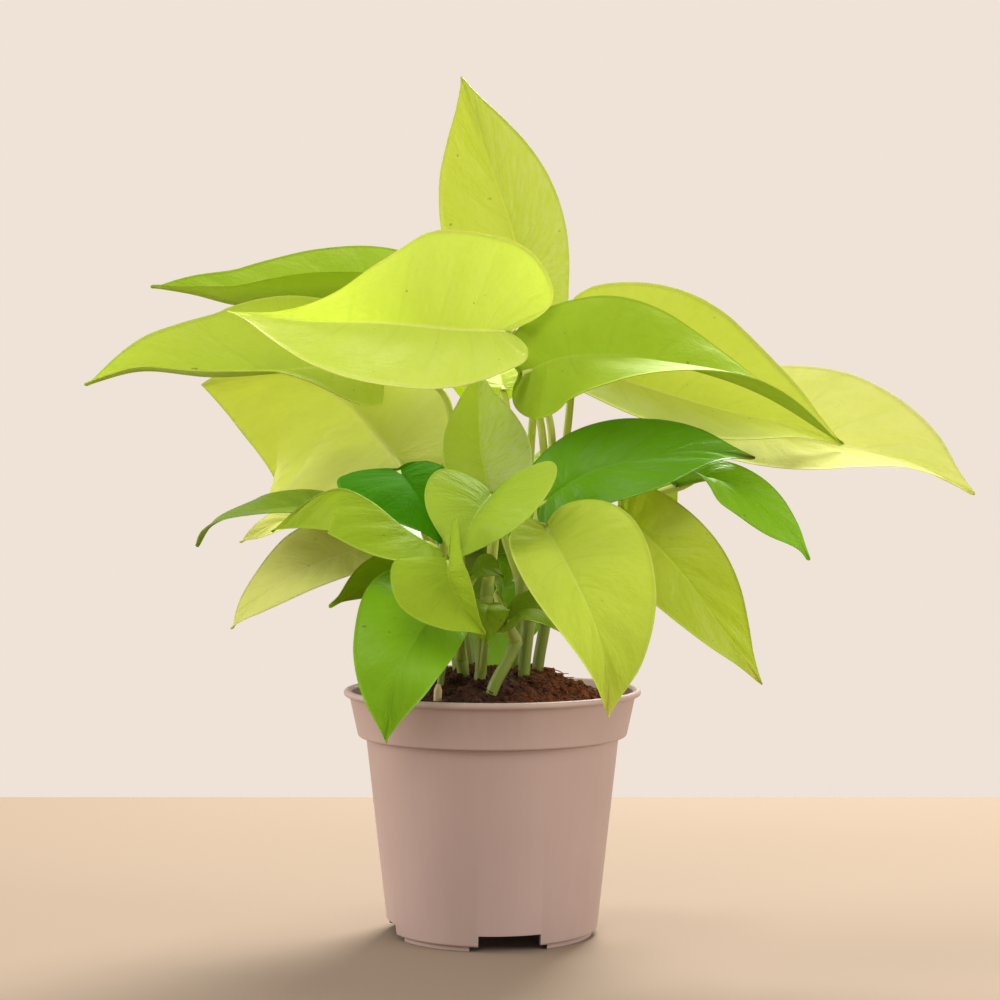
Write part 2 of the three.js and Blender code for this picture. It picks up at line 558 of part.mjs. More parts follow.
    face: [0, 0.8, 0.5], half: [25, 25], fold: BOTH(12), full: [0.8, 0.8], heart: [0.3, 0.3],
    colour: 'green',
  },
  leaf_rear_middle: {
    vine: 'vine_back_right', at: 0.72, via: [[6, 28, 134]],
    rib: [[2, 36, 148], [2, 53, 153], [4, 71, 147], [6, 86, 130]],
    face: [0, 0.2, 1], half: [20, 20], fold: BOTH(12), colour: 'dark',
  },
};

// Finishes

const finish = (color, roughness) => new THREE.MeshStandardMaterial({ color, roughness, metalness: 0 });
const LEAF_COLOURS = { yellow: 0xd0de4a, green: 0x8faf33, dark: 0x557612 };
const POT_COLOUR = 0xa88a7f;
const SOIL_COLOUR = 0x4e2811;
const VINE_COLOUR = 0xb9c06a;
const DRIED_COLOUR = 0xb59a6c;

const group = new THREE.Group();
group.position.set(...POT_AXIS, 0);

function addPiece(name, solid, material) {
  const mesh = new THREE.Mesh(geometryOf(solid), material);
  mesh.name = name;
  group.add(mesh);
}

addPiece('pot', potSolid(), finish(POT_COLOUR, 0.5));
addPiece('soil', soilSolid(), finish(SOIL_COLOUR, 0.95));
for (const [name, stem] of Object.entries(VINES)) {
  addPiece(name, vineSolid(stem), finish(name === 'stub_dried' ? DRIED_COLOUR : VINE_COLOUR, 0.5));
}
for (const [name, leaf] of Object.entries(LEAVES)) {
  addPiece(name, leafSolid(leaf), finish(LEAF_COLOURS[leaf.colour], 0.4));
}

export default group;
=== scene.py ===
import math

import bpy
import numpy as np
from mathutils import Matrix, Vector, noise


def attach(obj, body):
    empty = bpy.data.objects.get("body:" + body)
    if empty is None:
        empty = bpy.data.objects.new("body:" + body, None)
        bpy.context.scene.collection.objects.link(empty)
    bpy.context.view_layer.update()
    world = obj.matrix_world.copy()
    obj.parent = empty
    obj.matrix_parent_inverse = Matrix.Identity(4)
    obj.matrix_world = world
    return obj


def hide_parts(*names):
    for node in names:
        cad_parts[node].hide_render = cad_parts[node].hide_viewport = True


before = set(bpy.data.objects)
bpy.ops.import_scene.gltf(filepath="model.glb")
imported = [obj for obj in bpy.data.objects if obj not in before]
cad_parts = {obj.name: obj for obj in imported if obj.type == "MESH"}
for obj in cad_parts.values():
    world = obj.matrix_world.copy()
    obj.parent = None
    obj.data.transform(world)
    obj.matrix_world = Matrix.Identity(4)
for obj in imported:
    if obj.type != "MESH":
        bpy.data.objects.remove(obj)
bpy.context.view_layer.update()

MM = 0.001
POT_AXIS = np.array([-15.5, -4.0, 0.0])

# Driving sizes, as in the plain solids
RIM_RADIUS = 52.7
POT_HEIGHT = 86.5
BAND_TOP_RADIUS = 50.7
BAND_FOOT_RADIUS = 47.7
BAND_FOOT_HEIGHT = 70.0
BODY_TOP_RADIUS = 44.7
BODY_FOOT_RADIUS = 37.2
FOOT_RING_RADIUS = 35.8
FOOT_RING_HEIGHT = 1.7
POT_WALL = 1.2
FLOOR_UNDERSIDE = 6.6
FLOOR_TOP = 8.0
NOTCH = {"count": 4, "turn": 9.6, "width": 21.6, "height": 5.75, "ring_width": 27.0}
DRAIN = {"count": 6, "radius": 3.5, "circle": 21.0}
SOIL_EDGE = 79.0
SOIL_CROWN = 92.0
SOIL_LUMP = 1.3
SOIL_RADIUS = 47.2
BLADE_ARCH = 0.4  # radians that each half turns down by, from the midrib to the margin
VEIN_SWEEP = 2.4  # how far the side veins lean towards the tip, and how much they bow
VEIN_BOW = 1.3
WAVE_HEIGHT = 0.6  # of the margin, with the waves' count and the right half's lag
WAVE_COUNT = 2.3
WAVE_SHIFT = 0.37
PETIOLE_RADIUS = 1.35
JOINT_DEPTH = 0.7
JOINT_REACH = 5.0
SOLID_BLADE = 0.7
VINE_RADIUS = 2.1
VINE_FOOT = 60.0

# Sizes of the fine relief
BLADE_THICKNESS = 0.45
END_DEPTHS = (1.2, 0.3)  # of a blade at its notch and at its tip
FULL_RELIEF = 70.0  # length from which a blade has the relief that is given here
KEEL_HEIGHT = 1.0  # the midrib under the blade, at its base, and its width
KEEL_WIDTH = 1.0
GROOVE_DEPTH = 0.4  # the midrib's groove on the upper side, and its width
GROOVE_WIDTH = 0.8
SIDE_VEINS = 9  # on each half of a blade
VEIN_DEPTH = 0.12
VEIN_WIDTH = 0.12  # share of the way to the next vein
QUILT_HEIGHT = 0.16  # how far the blade swells between its side veins
CHANNEL_DEPTH = 0.28  # of a petiole's upper side, as a share of its radius
KNEE = {"swelling": 0.16, "from_end": 7.0, "reach": 3.0}  # of a petiole, under the blade
CLASP = {"swelling": 0.35, "from_foot": 1.5, "reach": 3.5}  # of a petiole, round the vine
NODE = {"swelling": 0.32, "reach": 1.8}  # of a vine, where a petiole clasps it
SCAR = {"depth": 0.16, "above_node": 3.4, "reach": 0.7}
SOIL_ROUGHNESS = 0.9
BANKED_CRUMBS = 4.0  # height of the loose crumbs that lie against the pot's wall
LIP_RADIUS = 1.15

# How finely the meshes are divided
ROUTE_STEPS = 401
ROWS_EACH_MM = 1.1  # on a blade
ROWS_LIMITS = (40, 100)
BLADE_COLUMNS = 41
PETIOLE_SIDES = 16
VINE_SIDES = 24
POT_SIDES = 160
DRAIN_SIDES = 24
SOIL_RINGS = 64
SOIL_SIDES = 180


# Camera: the photograph's place and angle of view

EYE = np.array([2.7, -800.0, 165.0])
FOCAL_PIXELS = 2255.0
FRAME_PIXELS = 1000.0
HORIZON_ABOVE_MIDDLE = 33.0  # pixels
SENSOR_MM = 36.0


def make_camera():
    data = bpy.data.cameras.new("camera")
    data.sensor_width = SENSOR_MM
    data.lens = SENSOR_MM * FOCAL_PIXELS / FRAME_PIXELS
    data.clip_start = 0.05
    data.clip_end = 20.0
    camera = bpy.data.objects.new("camera", data)
    camera.location = (EYE + POT_AXIS) * MM
    pitch = math.atan(HORIZON_ABOVE_MIDDLE / FOCAL_PIXELS)
    camera.rotation_euler = (math.pi / 2 - pitch, 0, 0)
    bpy.context.scene.collection.objects.link(camera)
    bpy.context.scene.camera = camera


# Curves and small helpers

def unit(vectors):
    return vectors / np.linalg.norm(vectors, axis=-1, keepdims=True)


def smooth(value, low, high):
    share = np.clip((value - low) / (high - low), 0, 1)
    return share * share * (3 - 2 * share)


def bell(distance, width):
    return np.exp(-((distance / width) ** 2))


def curve_through(points, shares):
    """Places on a centripetal Catmull-Rom curve, by shares of its parameter."""
    given = np.asarray(points, float)
    ends = [2 * given[0] - given[1], 2 * given[-1] - given[-2]]
    padded = np.vstack([ends[0], given, ends[1]])
    place = np.clip(shares, 0, 1) * (len(given) - 1)
    span = np.minimum(place.astype(int), len(given) - 2)
    w = (place - span)[:, None]
    a, b, c, d = (padded[span + k] for k in range(4))
    gaps = (b - a, c - b, d - c)
    da, db, dc = (np.sqrt(np.linalg.norm(gap, axis=1))[:, None] for gap in gaps)
    leave = ((b - a) / da - (c - a) / (da + db) + (c - b) / db) * db
    enter = ((c - b) / db - (d - b) / (db + dc) + (d - c) / dc) * db
    return (b + leave * w + (3 * (c - b) - 2 * leave - enter) * w ** 2
            + (2 * (b - c) + leave + enter) * w ** 3)


class Route:
    """A curve through points that is walked by shares of its length."""

    def __init__(self, points):
        self.points = points
        self.shares = np.linspace(0, 1, ROUTE_STEPS)
        places = curve_through(points, self.shares)
        steps = np.linalg.norm(np.diff(places, axis=0), axis=1)
        self.walked = np.concatenate([[0], np.cumsum(steps)])
        self.length = self.walked[-1]

    def at(self, share):
        share = np.clip(np.atleast_1d(share), 0, 1)
        return curve_through(self.points, np.interp(share * self.length, self.walked, self.shares))

    def heading(self, share):
        share = np.atleast_1d(share)
        return unit(self.at(share + 1e-3) - self.at(share - 1e-3))


def mesh_object(name, points, faces, materials, material_of_face=None, place=None):
    """A mesh object from points in millimetres. place is a vector for each point, for the materials."""
    mesh = bpy.data.meshes.new(name)
    metres = (np.asarray(points) + POT_AXIS) * MM
    mesh.from_pydata(metres.tolist(), [], [tuple(int(v) for v in face) for face in faces])
    for material in materials:
        mesh.materials.append(material)
    if material_of_face is not None:
        mesh.polygons.foreach_set("material_index", material_of_face)
    if place is not None:
        layer = mesh.attributes.new("place", "FLOAT_VECTOR", "POINT")
        layer.data.foreach_set("vector", np.asarray(place, np.float32).ravel())
    mesh.shade_smooth()
    mesh.update()
    piece = bpy.data.objects.new(name, mesh)
    bpy.context.scene.collection.objects.link(piece)
    return piece


def closed_faces(grid, foot, head):
    """Faces of a closed tube: a fan at its foot, quads between its rings and a fan at its head."""
    beside = np.roll(grid, -1, axis=1)
    quads = np.stack([grid[:-1], beside[:-1], beside[1:], grid[1:]], axis=-1).reshape(-1, 4)
    foot_fan = [(foot, k, j) for j, k in zip(grid[0], beside[0])]
    return [*foot_fan, *quads, *[(head, j, k) for j, k in zip(grid[-1], beside[-1])]]


def ring_of(radius, height, sides):
    turns = np.linspace(0, 2 * np.pi, sides, endpoint=False)
    return [(radius * math.cos(t), radius * math.sin(t), height) for t in turns]


def box_mesh(left, right, front, back, low, high):
    corners = [(left, front), (right, front), (right, back), (left, back)]
    points = [(x, y, z) for z in (low, high) for x, y in corners]
    return points, [(3, 2, 1, 0), (4, 5, 6, 7), (0, 1, 5, 4), (1, 2, 6, 5), (2, 3, 7, 6), (3, 0, 4, 7)]


def apply_modifiers(piece):
    scene_state = bpy.context.evaluated_depsgraph_get()
    mesh = bpy.data.meshes.new_from_object(piece.evaluated_get(scene_state))
    piece.modifiers.clear()
    piece.data = mesh


def finish_piece(piece, slot, *nodes):
    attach(piece, "root")
    if nodes:
        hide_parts(*nodes)


# Materials, with the widths of their patterns in millimetres

LEAF_PATCH = 26.3
LEAF_MOTTLE = 3.03
BROWN_SPECK = 2.381
POT_CLOUD = 45.5
FLOW_MARK = (3.846, 3.846, 111.0)
MOULD_GRAIN = 0.3846  # really under 0.1, which is too fine to show
COIR_CLOD = 3.846
COIR_SPECK = 0.7143

# How often the streaks change across a half blade and along it, and round a stem and along a
# centimetre of it
LEAF_STREAKS = (5.0, 48.0, 1.0)
STEM_LINES = (5.0, 0.6, 1.0)

STEM_SHADE_TOP = 140.0  # height up to which the stems are painted a deeper green, as shade
SHADE_MIDDLE = (-0.026, -0.024, 0.088)  # in metres, where the soil is painted darkest, as shade round the stems
# grey of the painted sheen on the right half of some blades
PAINTED_SHEEN_GREY = "#DFE6BE"
SPECK_BROWN = "#6A5A20"
# green of the painted shade low on the stems
SHADED_STEM_GREEN = "#66781E"
# brown of the painted shade on the soil round the stems
SHADED_COIR = "#26120A"


def linear(hex_colour):
    """Linear red, green, blue and alpha of an sRGB hex colour."""
    parts = [int(hex_colour[i:i + 2], 16) / 255 for i in (1, 3, 5)]
    return (*[p / 12.92 if p <= 0.04045 else ((p + 0.055) / 1.055) ** 2.4 for p in parts], 1.0)


def add(tree, kind, links=None, **settings):
    """Adds a node. links gives each input, by name or number, its value, or the output that feeds it,
    or a node whose first output does."""
    node = tree.nodes.new(kind)
    for key, value in settings.items():
        setattr(node, key, value)
    for key, value in (links or {}).items():
        if isinstance(value, bpy.types.Node):
            value = value.outputs[0]
        if isinstance(value, bpy.types.NodeSocket):
            tree.links.new(value, node.inputs[key])
        else:
            node.inputs[key].default_value = value
    return node


def new_material(name):
    material = bpy.data.materials.new(name)
    material.use_nodes = True
    material.node_tree.nodes.clear()
    return material, material.node_tree


def laid_over(tree, below, colour, pattern, low, high, most=1.0, least=0.0):
    """Lays a colour over what is below it, by a share that goes from least to most as the pattern
    goes from low to high. A colour is a hex value, a linear value or an output."""
    share = add(tree, "ShaderNodeMapRange", {0: pattern, 1: low, 2: high, 3: least, 4: most})
    below, colour = (linear(c) if isinstance(c, str) else c for c in (below, colour))
    return add(tree, "ShaderNodeMix", {0: share, 6: below, 7: colour}, data_type="RGBA").outputs[2]


def per_metre(width):
    """The scale of a pattern that is as wide as this, in millimetres."""
    return 1 / (width * MM)


def tinted(colour, *scales):
    """A linear colour with its red, green and blue scaled."""
    return (*[min(channel * scale, 0.95) for channel, scale in zip(colour, scales)], 1.0)


def leaf_blade(name, face, under, painted_sheen=0.0, shine=0.35, passing=0.4, tip=None, rough=0.31):
    """Living leaf: thin light-passing tissue under a waxy skin. It gives a painted sheen in lighter
    streaks that follow the veins, a glow where light comes through, a paler, duller underside, a painted
    highlight along the margin and a few brown specks. painted_sheen is how far a painted grey sheen
    covers the right half, tip is the colour of a tip that has begun to age, and rough is the roughness
    where the wax is smoothest."""
    material, tree = new_material(name)
    face, under = linear(face), linear(under)
    place = add(tree, "ShaderNodeAttribute", attribute_name="place").outputs["Vector"]
    across, vein, back = add(tree, "ShaderNodeSeparateXYZ", {0: place}).outputs
    reach = add(tree, "ShaderNodeMath", {0: across}, operation="ABSOLUTE")
    half_gap = 0.5 / SIDE_VEINS
    to_vein = add(tree, "ShaderNodeMath", {0: vein, 1: half_gap}, operation="PINGPONG")
    where = add(tree, "ShaderNodeTexCoord").outputs["Object"]
    patch = add(tree, "ShaderNodeTexNoise", {"Vector": where, "Scale": per_metre(LEAF_PATCH)})
    mottle = add(tree, "ShaderNodeTexNoise", {
        "Vector": where, "Scale": per_metre(LEAF_MOTTLE), "Detail": 4.0, "Roughness": 0.65})
    speck = add(tree, "ShaderNodeTexNoise", {
        "Vector": where, "Scale": per_metre(BROWN_SPECK), "Detail": 1.0})
    along_veins = add(tree, "ShaderNodeMapping", {0: place, 3: LEAF_STREAKS})
    streak = add(tree, "ShaderNodeTexNoise", {
        "Vector": along_veins, "Scale": 1.0, "Detail": 3.0, "Roughness": 0.55})
    colour = laid_over(tree, face, tinted(face, 0.86, 0.92, 0.6), patch, 0.3, 0.7, 0.6)
    # painted sheen: lighter, greyer streaks that follow the veins
    colour = laid_over(tree, colour, tinted(face, 1.1, 1.06, 1.5), streak, 0.35, 0.75, 0.3)
    colour = laid_over(tree, colour, tinted(face, 0.8, 0.9, 0.6), mottle, 0.5, 0.8, 0.3)
    veined = laid_over(tree, colour, tinted(face, 0.72, 0.8, 0.5), to_vein, 0.14 * half_gap, 0.0, 0.28)
    colour = laid_over(tree, colour, veined, reach, 0.95, 0.3)
    # painted sheen: a grey, streaky sheen laid over the right half of the blade
    if painted_sheen:
        painted_sheen_colour = laid_over(tree, colour, PAINTED_SHEEN_GREY, streak, 0.36, 0.62, 1.0, 0.25)
        colour = laid_over(tree, colour, painted_sheen_colour, across, 0.0, 0.06, painted_sheen)
    if tip:
        colour = laid_over(tree, colour, tip, vein, 0.9, 0.985, 0.85)
    colour = laid_over(tree, colour, SPECK_BROWN, speck, 0.775, 0.8, 0.6)
    # the same painted sheen, as lighter streaks, on the underside
    underside = laid_over(tree, under, tinted(under, 1.12, 1.08, 1.3), streak, 0.35, 0.7, 0.35)
    colour = laid_over(tree, colour, underside, back, 0.0, 1.0)
    pale = tinted(face, 1.25, 1.15, 2.2)
    # a paler midrib, then a painted highlight as a pale line along the margin
    colour = laid_over(tree, colour, pale, reach, 0.03, 0.01, 0.6)
    colour = laid_over(tree, colour, pale, reach, 0.97, 0.995, 0.8)
    relief = add(tree, "ShaderNodeMath", {0: mottle, 1: 0.7, 2: streak}, operation="MULTIPLY_ADD")
    bump = add(tree, "ShaderNodeBump", {"Height": relief, "Strength": 0.7, "Distance": 0.5 * MM})
    waxed = add(tree, "ShaderNodeMapRange", {0: mottle, 1: 0.3, 2: 0.7, 3: rough, 4: rough + 0.14})
    dull = add(tree, "ShaderNodeMath", {0: back, 1: 0.15, 2: waxed}, operation="MULTIPLY_ADD")
    skin = add(tree, "ShaderNodeBsdfPrincipled", {
        "Base Color": colour, "Roughness": dull, "IOR": 1.42, "Specular IOR Level": shine,
        "Normal": bump})
    bright = tinted(face, 1.1, 1.12, 0.9)
    lit = add(tree, "ShaderNodeMix", {0: 0.6, 6: colour, 7: bright}, data_type="RGBA")
    glow = add(tree, "ShaderNodeBsdfTranslucent", {"Color": lit.outputs[2], "Normal": bump})
    mix = add(tree, "ShaderNodeMixShader", {0: passing, 1: skin, 2: glow})
    add(tree, "ShaderNodeOutputMaterial", {0: mix})
    return material


def stem_skin(name, colour, pale, brown, roughness=0.42, shade_share=0.75):
    """Living stem or petiole: smooth skin with fine lengthwise lines and a few brown flecks. It is
    yellowish higher up and painted a deeper green near the soil as shade, by the share shade_share."""
    material, tree = new_material(name)
    place = add(tree, "ShaderNodeAttribute", attribute_name="place").outputs["Vector"]
    lines = add(tree, "ShaderNodeMapping", {0: place, 3: STEM_LINES})
    streak = add(tree, "ShaderNodeTexNoise", {"Vector": lines, "Scale": 2.0, "Detail": 3.0})
    where = add(tree, "ShaderNodeTexCoord").outputs["Object"]
    height = add(tree, "ShaderNodeSeparateXYZ", {0: where}).outputs["Z"]
    fleck = add(tree, "ShaderNodeTexNoise", {"Vector": where, "Scale": per_metre(BROWN_SPECK)})
    base = laid_over(tree, colour, pale, streak, 0.35, 0.65)
    base = laid_over(tree, base, brown, fleck, 0.68, 0.74, 0.7)
    # painted shade: a deeper green low on the stems, near the soil
    base = laid_over(tree, base, SHADED_STEM_GREEN, height, STEM_SHADE_TOP * MM, SOIL_CROWN * MM, shade_share)
    bump = add(tree, "ShaderNodeBump", {"Height": streak, "Strength": 0.4, "Distance": 0.2 * MM})
    skin = add(tree, "ShaderNodeBsdfPrincipled", {
        "Base Color": base, "Roughness": roughness, "IOR": 1.45, "Subsurface Weight": 0.15,
        "Subsurface Radius": (0.8, 1.0, 0.3), "Subsurface Scale": MM, "Normal": bump})
    add(tree, "ShaderNodeOutputMaterial", {0: skin})
    return material


def moulded_polypropylene():
    """Injection-moulded polypropylene with a fine spark-eroded grain: an even satin surface, with
    faint upright flow marks and a soft change of tone round the wall."""
    material, tree = new_material("moulded_polypropylene")
    where = add(tree, "ShaderNodeTexCoord").outputs["Object"]
    cloud = add(tree, "ShaderNodeTexNoise", {
        "Vector": where, "Scale": per_metre(POT_CLOUD), "Detail": 3.0})
    upright = add(tree, "ShaderNodeMapping", {0: where, 3: [per_metre(width) for width in FLOW_MARK]})
    flow = add(tree, "ShaderNodeTexNoise", {"Vector": upright, "Scale": 1.0})
    grain = add(tree, "ShaderNodeTexNoise", {
        "Vector": where, "Scale": per_metre(MOULD_GRAIN), "Detail": 1.0})
    colour = laid_over(tree, "#B69E98", "#B09892", cloud, 0.3, 0.7)
    colour = laid_over(tree, colour, "#BCA69E", flow, 0.3, 0.7, 0.2)
    rough = add(tree, "ShaderNodeMapRange", {0: cloud, 1: 0.3, 2: 0.7, 3: 0.42, 4: 0.5})
    fine = add(tree, "ShaderNodeMath", {0: grain, 1: 0.5}, operation="MULTIPLY")
    relief = add(tree, "ShaderNodeMath", {0: flow, 1: 0.6, 2: fine}, operation="MULTIPLY_ADD")
    bump = add(tree, "ShaderNodeBump", {"Height": relief, "Strength": 0.18, "Distance": 0.2 * MM})
    skin = add(tree, "ShaderNodeBsdfPrincipled", {
        "Base Color": colour, "Roughness": rough, "IOR": 1.49, "Normal": bump})
    add(tree, "ShaderNodeOutputMaterial", {0: skin})
    return material


def damp_coir(name, dark, mid, light):
    """Damp coir mix: reddish-brown crumbs and pith, dull, with painted shade in the hollows and
    round the stems in the middle."""
    material, tree = new_material(name)
    where = add(tree, "ShaderNodeTexCoord").outputs["Object"]
    clod = add(tree, "ShaderNodeTexNoise", {
        "Vector": where, "Scale": per_metre(COIR_CLOD), "Detail": 6.0})
    speck = add(tree, "ShaderNodeTexNoise", {
        "Vector": where, "Scale": per_metre(COIR_SPECK), "Detail": 3.0})
    from_shade_middle = add(tree, "ShaderNodeVectorMath", {0: where, 1: SHADE_MIDDLE}, operation="DISTANCE")
    # painted shade: the clod pattern's low parts, which the bump sinks, take the dark colour
    colour = laid_over(tree, dark, mid, clod, 0.35, 0.62)
    colour = laid_over(tree, colour, light, speck, 0.52, 0.68, 0.7)
    # painted shade: the soil goes dark round the stems in the middle
    colour = laid_over(tree, colour, SHADED_COIR, from_shade_middle.outputs["Value"], 0.044, 0.016, 0.8)
    relief = add(tree, "ShaderNodeMath", {0: speck, 1: 0.4, 2: clod}, operation="MULTIPLY_ADD")
    bump = add(tree, "ShaderNodeBump", {"Height": relief, "Strength": 0.9, "Distance": 0.8 * MM})
    skin = add(tree, "ShaderNodeBsdfPrincipled", {
        "Base Color": colour, "Roughness": 0.88, "IOR": 1.4, "Normal": bump})
    add(tree, "ShaderNodeOutputMaterial", {0: skin})
    return material


# Each sort of blade: its upper side, its under side and what else sets it apart
TONES = {
    "lime_bright": ("#E2F06E", "#D2DA5C", {"passing": 0.5, "shine": 0.25}),
    "lime_yellow": ("#D8E072", "#EAF08A", {}),
    "lime_pale": ("#E2E68C", "#DCE07C", {"shine": 0.1, "rough": 0.6}),
    "lime_soft": ("#D2DC58", "#C6CC4C", {"shine": 0.15, "rough": 0.5}),
    "apple_green": ("#CCDE48", "#A8B840", {}),
    "chartreuse": ("#D4E656", "#BCC448", {"tip": "#E6D878", "shine": 0.2, "rough": 0.5}),
    "lime_green": ("#C0D03E", "#B0BC44", {"tip": "#DCD06A"}),
    "spring_green": ("#B6D142", "#B4C254", {}),
    "fresh_green": ("#AAC630", "#B4C254", {"shine": 0.15, "rough": 0.5}),
    "soft_green": ("#9EBE42", "#96A644", {}),
    # these two have a painted grey sheen on their right halves
    "green_painted_sheen": ("#CEE060", "#B2C254", {"painted_sheen": 0.8}),
    "lime_painted_sheen": ("#CCD652", "#C2C448", {"painted_sheen": 0.3}),
    "mid_green": ("#96CC24", "#8EA63A", {}),
    "deep_green": ("#68A40A", "#7C9030", {"passing": 0.2, "tip": "#5E4A1C"}),
    "vivid_green": ("#448A00", "#7C9030", {"shine": 0.05, "passing": 0.15, "rough": 0.65}),
    "olive": ("#88A41C", "#98C818", {"shine": 0.1, "passing": 0.3, "rough": 0.5}),
}


# Vines, as routes in the soil and above it

def vine(x, y, above, radius=VINE_RADIUS):
    points = [(x, y, VINE_FOOT), (x, y, (VINE_FOOT + SOIL_EDGE) / 2), *above]
    return {"route": Route(points), "radius": radius}


VINES = {
    "vine_front_left": vine(-10, -12, [(-10, -13, 92), (-13, -16, 108), (-15, -19, 122)]),
    "vine_left": vine(-12, 1, [(-12, 1, 92), (-15, 2, 112), (-18, 1, 134)]),
    "vine_front": vine(-4, -19, [(-4, -20, 92), (-3, -23, 110), (-1, -26, 128)]),
    "vine_slanting": vine(-1, -28, [(0, -28, 88), (5, -27, 98), (9, -26, 107)]),
    "vine_front_right": vine(11, -13, [(11, -13, 92), (13, -15, 112), (15, -16, 136)]),
    "vine_right": vine(16, 1, [(16, 1, 92), (19, 0, 112), (21, -2, 142)]),
    "vine_back_left": vine(-8, 16, [(-8, 16, 92), (-11, 18, 114), (-13, 20, 142)]),
    "vine_back_right": vine(8, 15, [(8, 15, 92), (10, 17, 114), (12, 18, 146)]),
    "stub_dried": vine(-18.5, -32, [(-18.6, -32, 85), (-18.3, -32, 91)], 1.4),
    "shoot_young": vine(-18, -21, [(-17.8, -21, 91), (-16.6, -21, 98)], 1.2),
}


# Half outlines of blades: how far along the midrib and how far out, in shares of its length and half
# width, from the notch at the petiole, round the lobe, to the tip
OUTLINE = [
    (0, 0), (-0.06, 0.16), (-0.08, 0.4), (-0.04, 0.66), (0.06, 0.87), (0.22, 0.99),
    (0.4, 0.97), (0.58, 0.79), (0.74, 0.5), (0.86, 0.24), (0.94, 0.09), (1, 0)]
BROAD_LOWER = [
    (0, 0), (-0.03, 0.15), (-0.04, 0.32), (-0.01, 0.5), (0.08, 0.66), (0.2, 0.88),
    (0.33, 1), (0.47, 0.93), (0.62, 0.67), (0.77, 0.34), (0.9, 0.11), (1, 0)]
BROAD_UPPER = [
    (0, 0), (-0.1, 0.12), (-0.17, 0.3), (-0.165, 0.52), (-0.1, 0.78), (0, 0.93),
    (0.14, 1), (0.3, 0.95), (0.44, 0.63), (0.6, 0.28), (0.8, 0.07), (1, 0)]
RIGHT_UPPER = [
    (0, 0), (-0.03, 0.12), (-0.05, 0.3), (-0.03, 0.52), (0.03, 0.75), (0.14, 0.93),
    (0.27, 1), (0.43, 0.86), (0.6, 0.58), (0.75, 0.31), (0.88, 0.11), (1, 0)]


# Leaves, from the crown down. Their nodes' names start with leaf_ and their vines' with vine_.
# half, fold, lobe, full, heart and outline give the left half first.

def both(angle):
    return [[angle, angle], [angle, angle]]


def leaf(vine, at, via, rib, face, half, fold, tone, slot, **shape):
    return {"vine": vine, "at": at, "via": via, "rib": rib, "face": face, "half": half, "fold": fold,
            "tone": tone, "slot": slot, **shape}


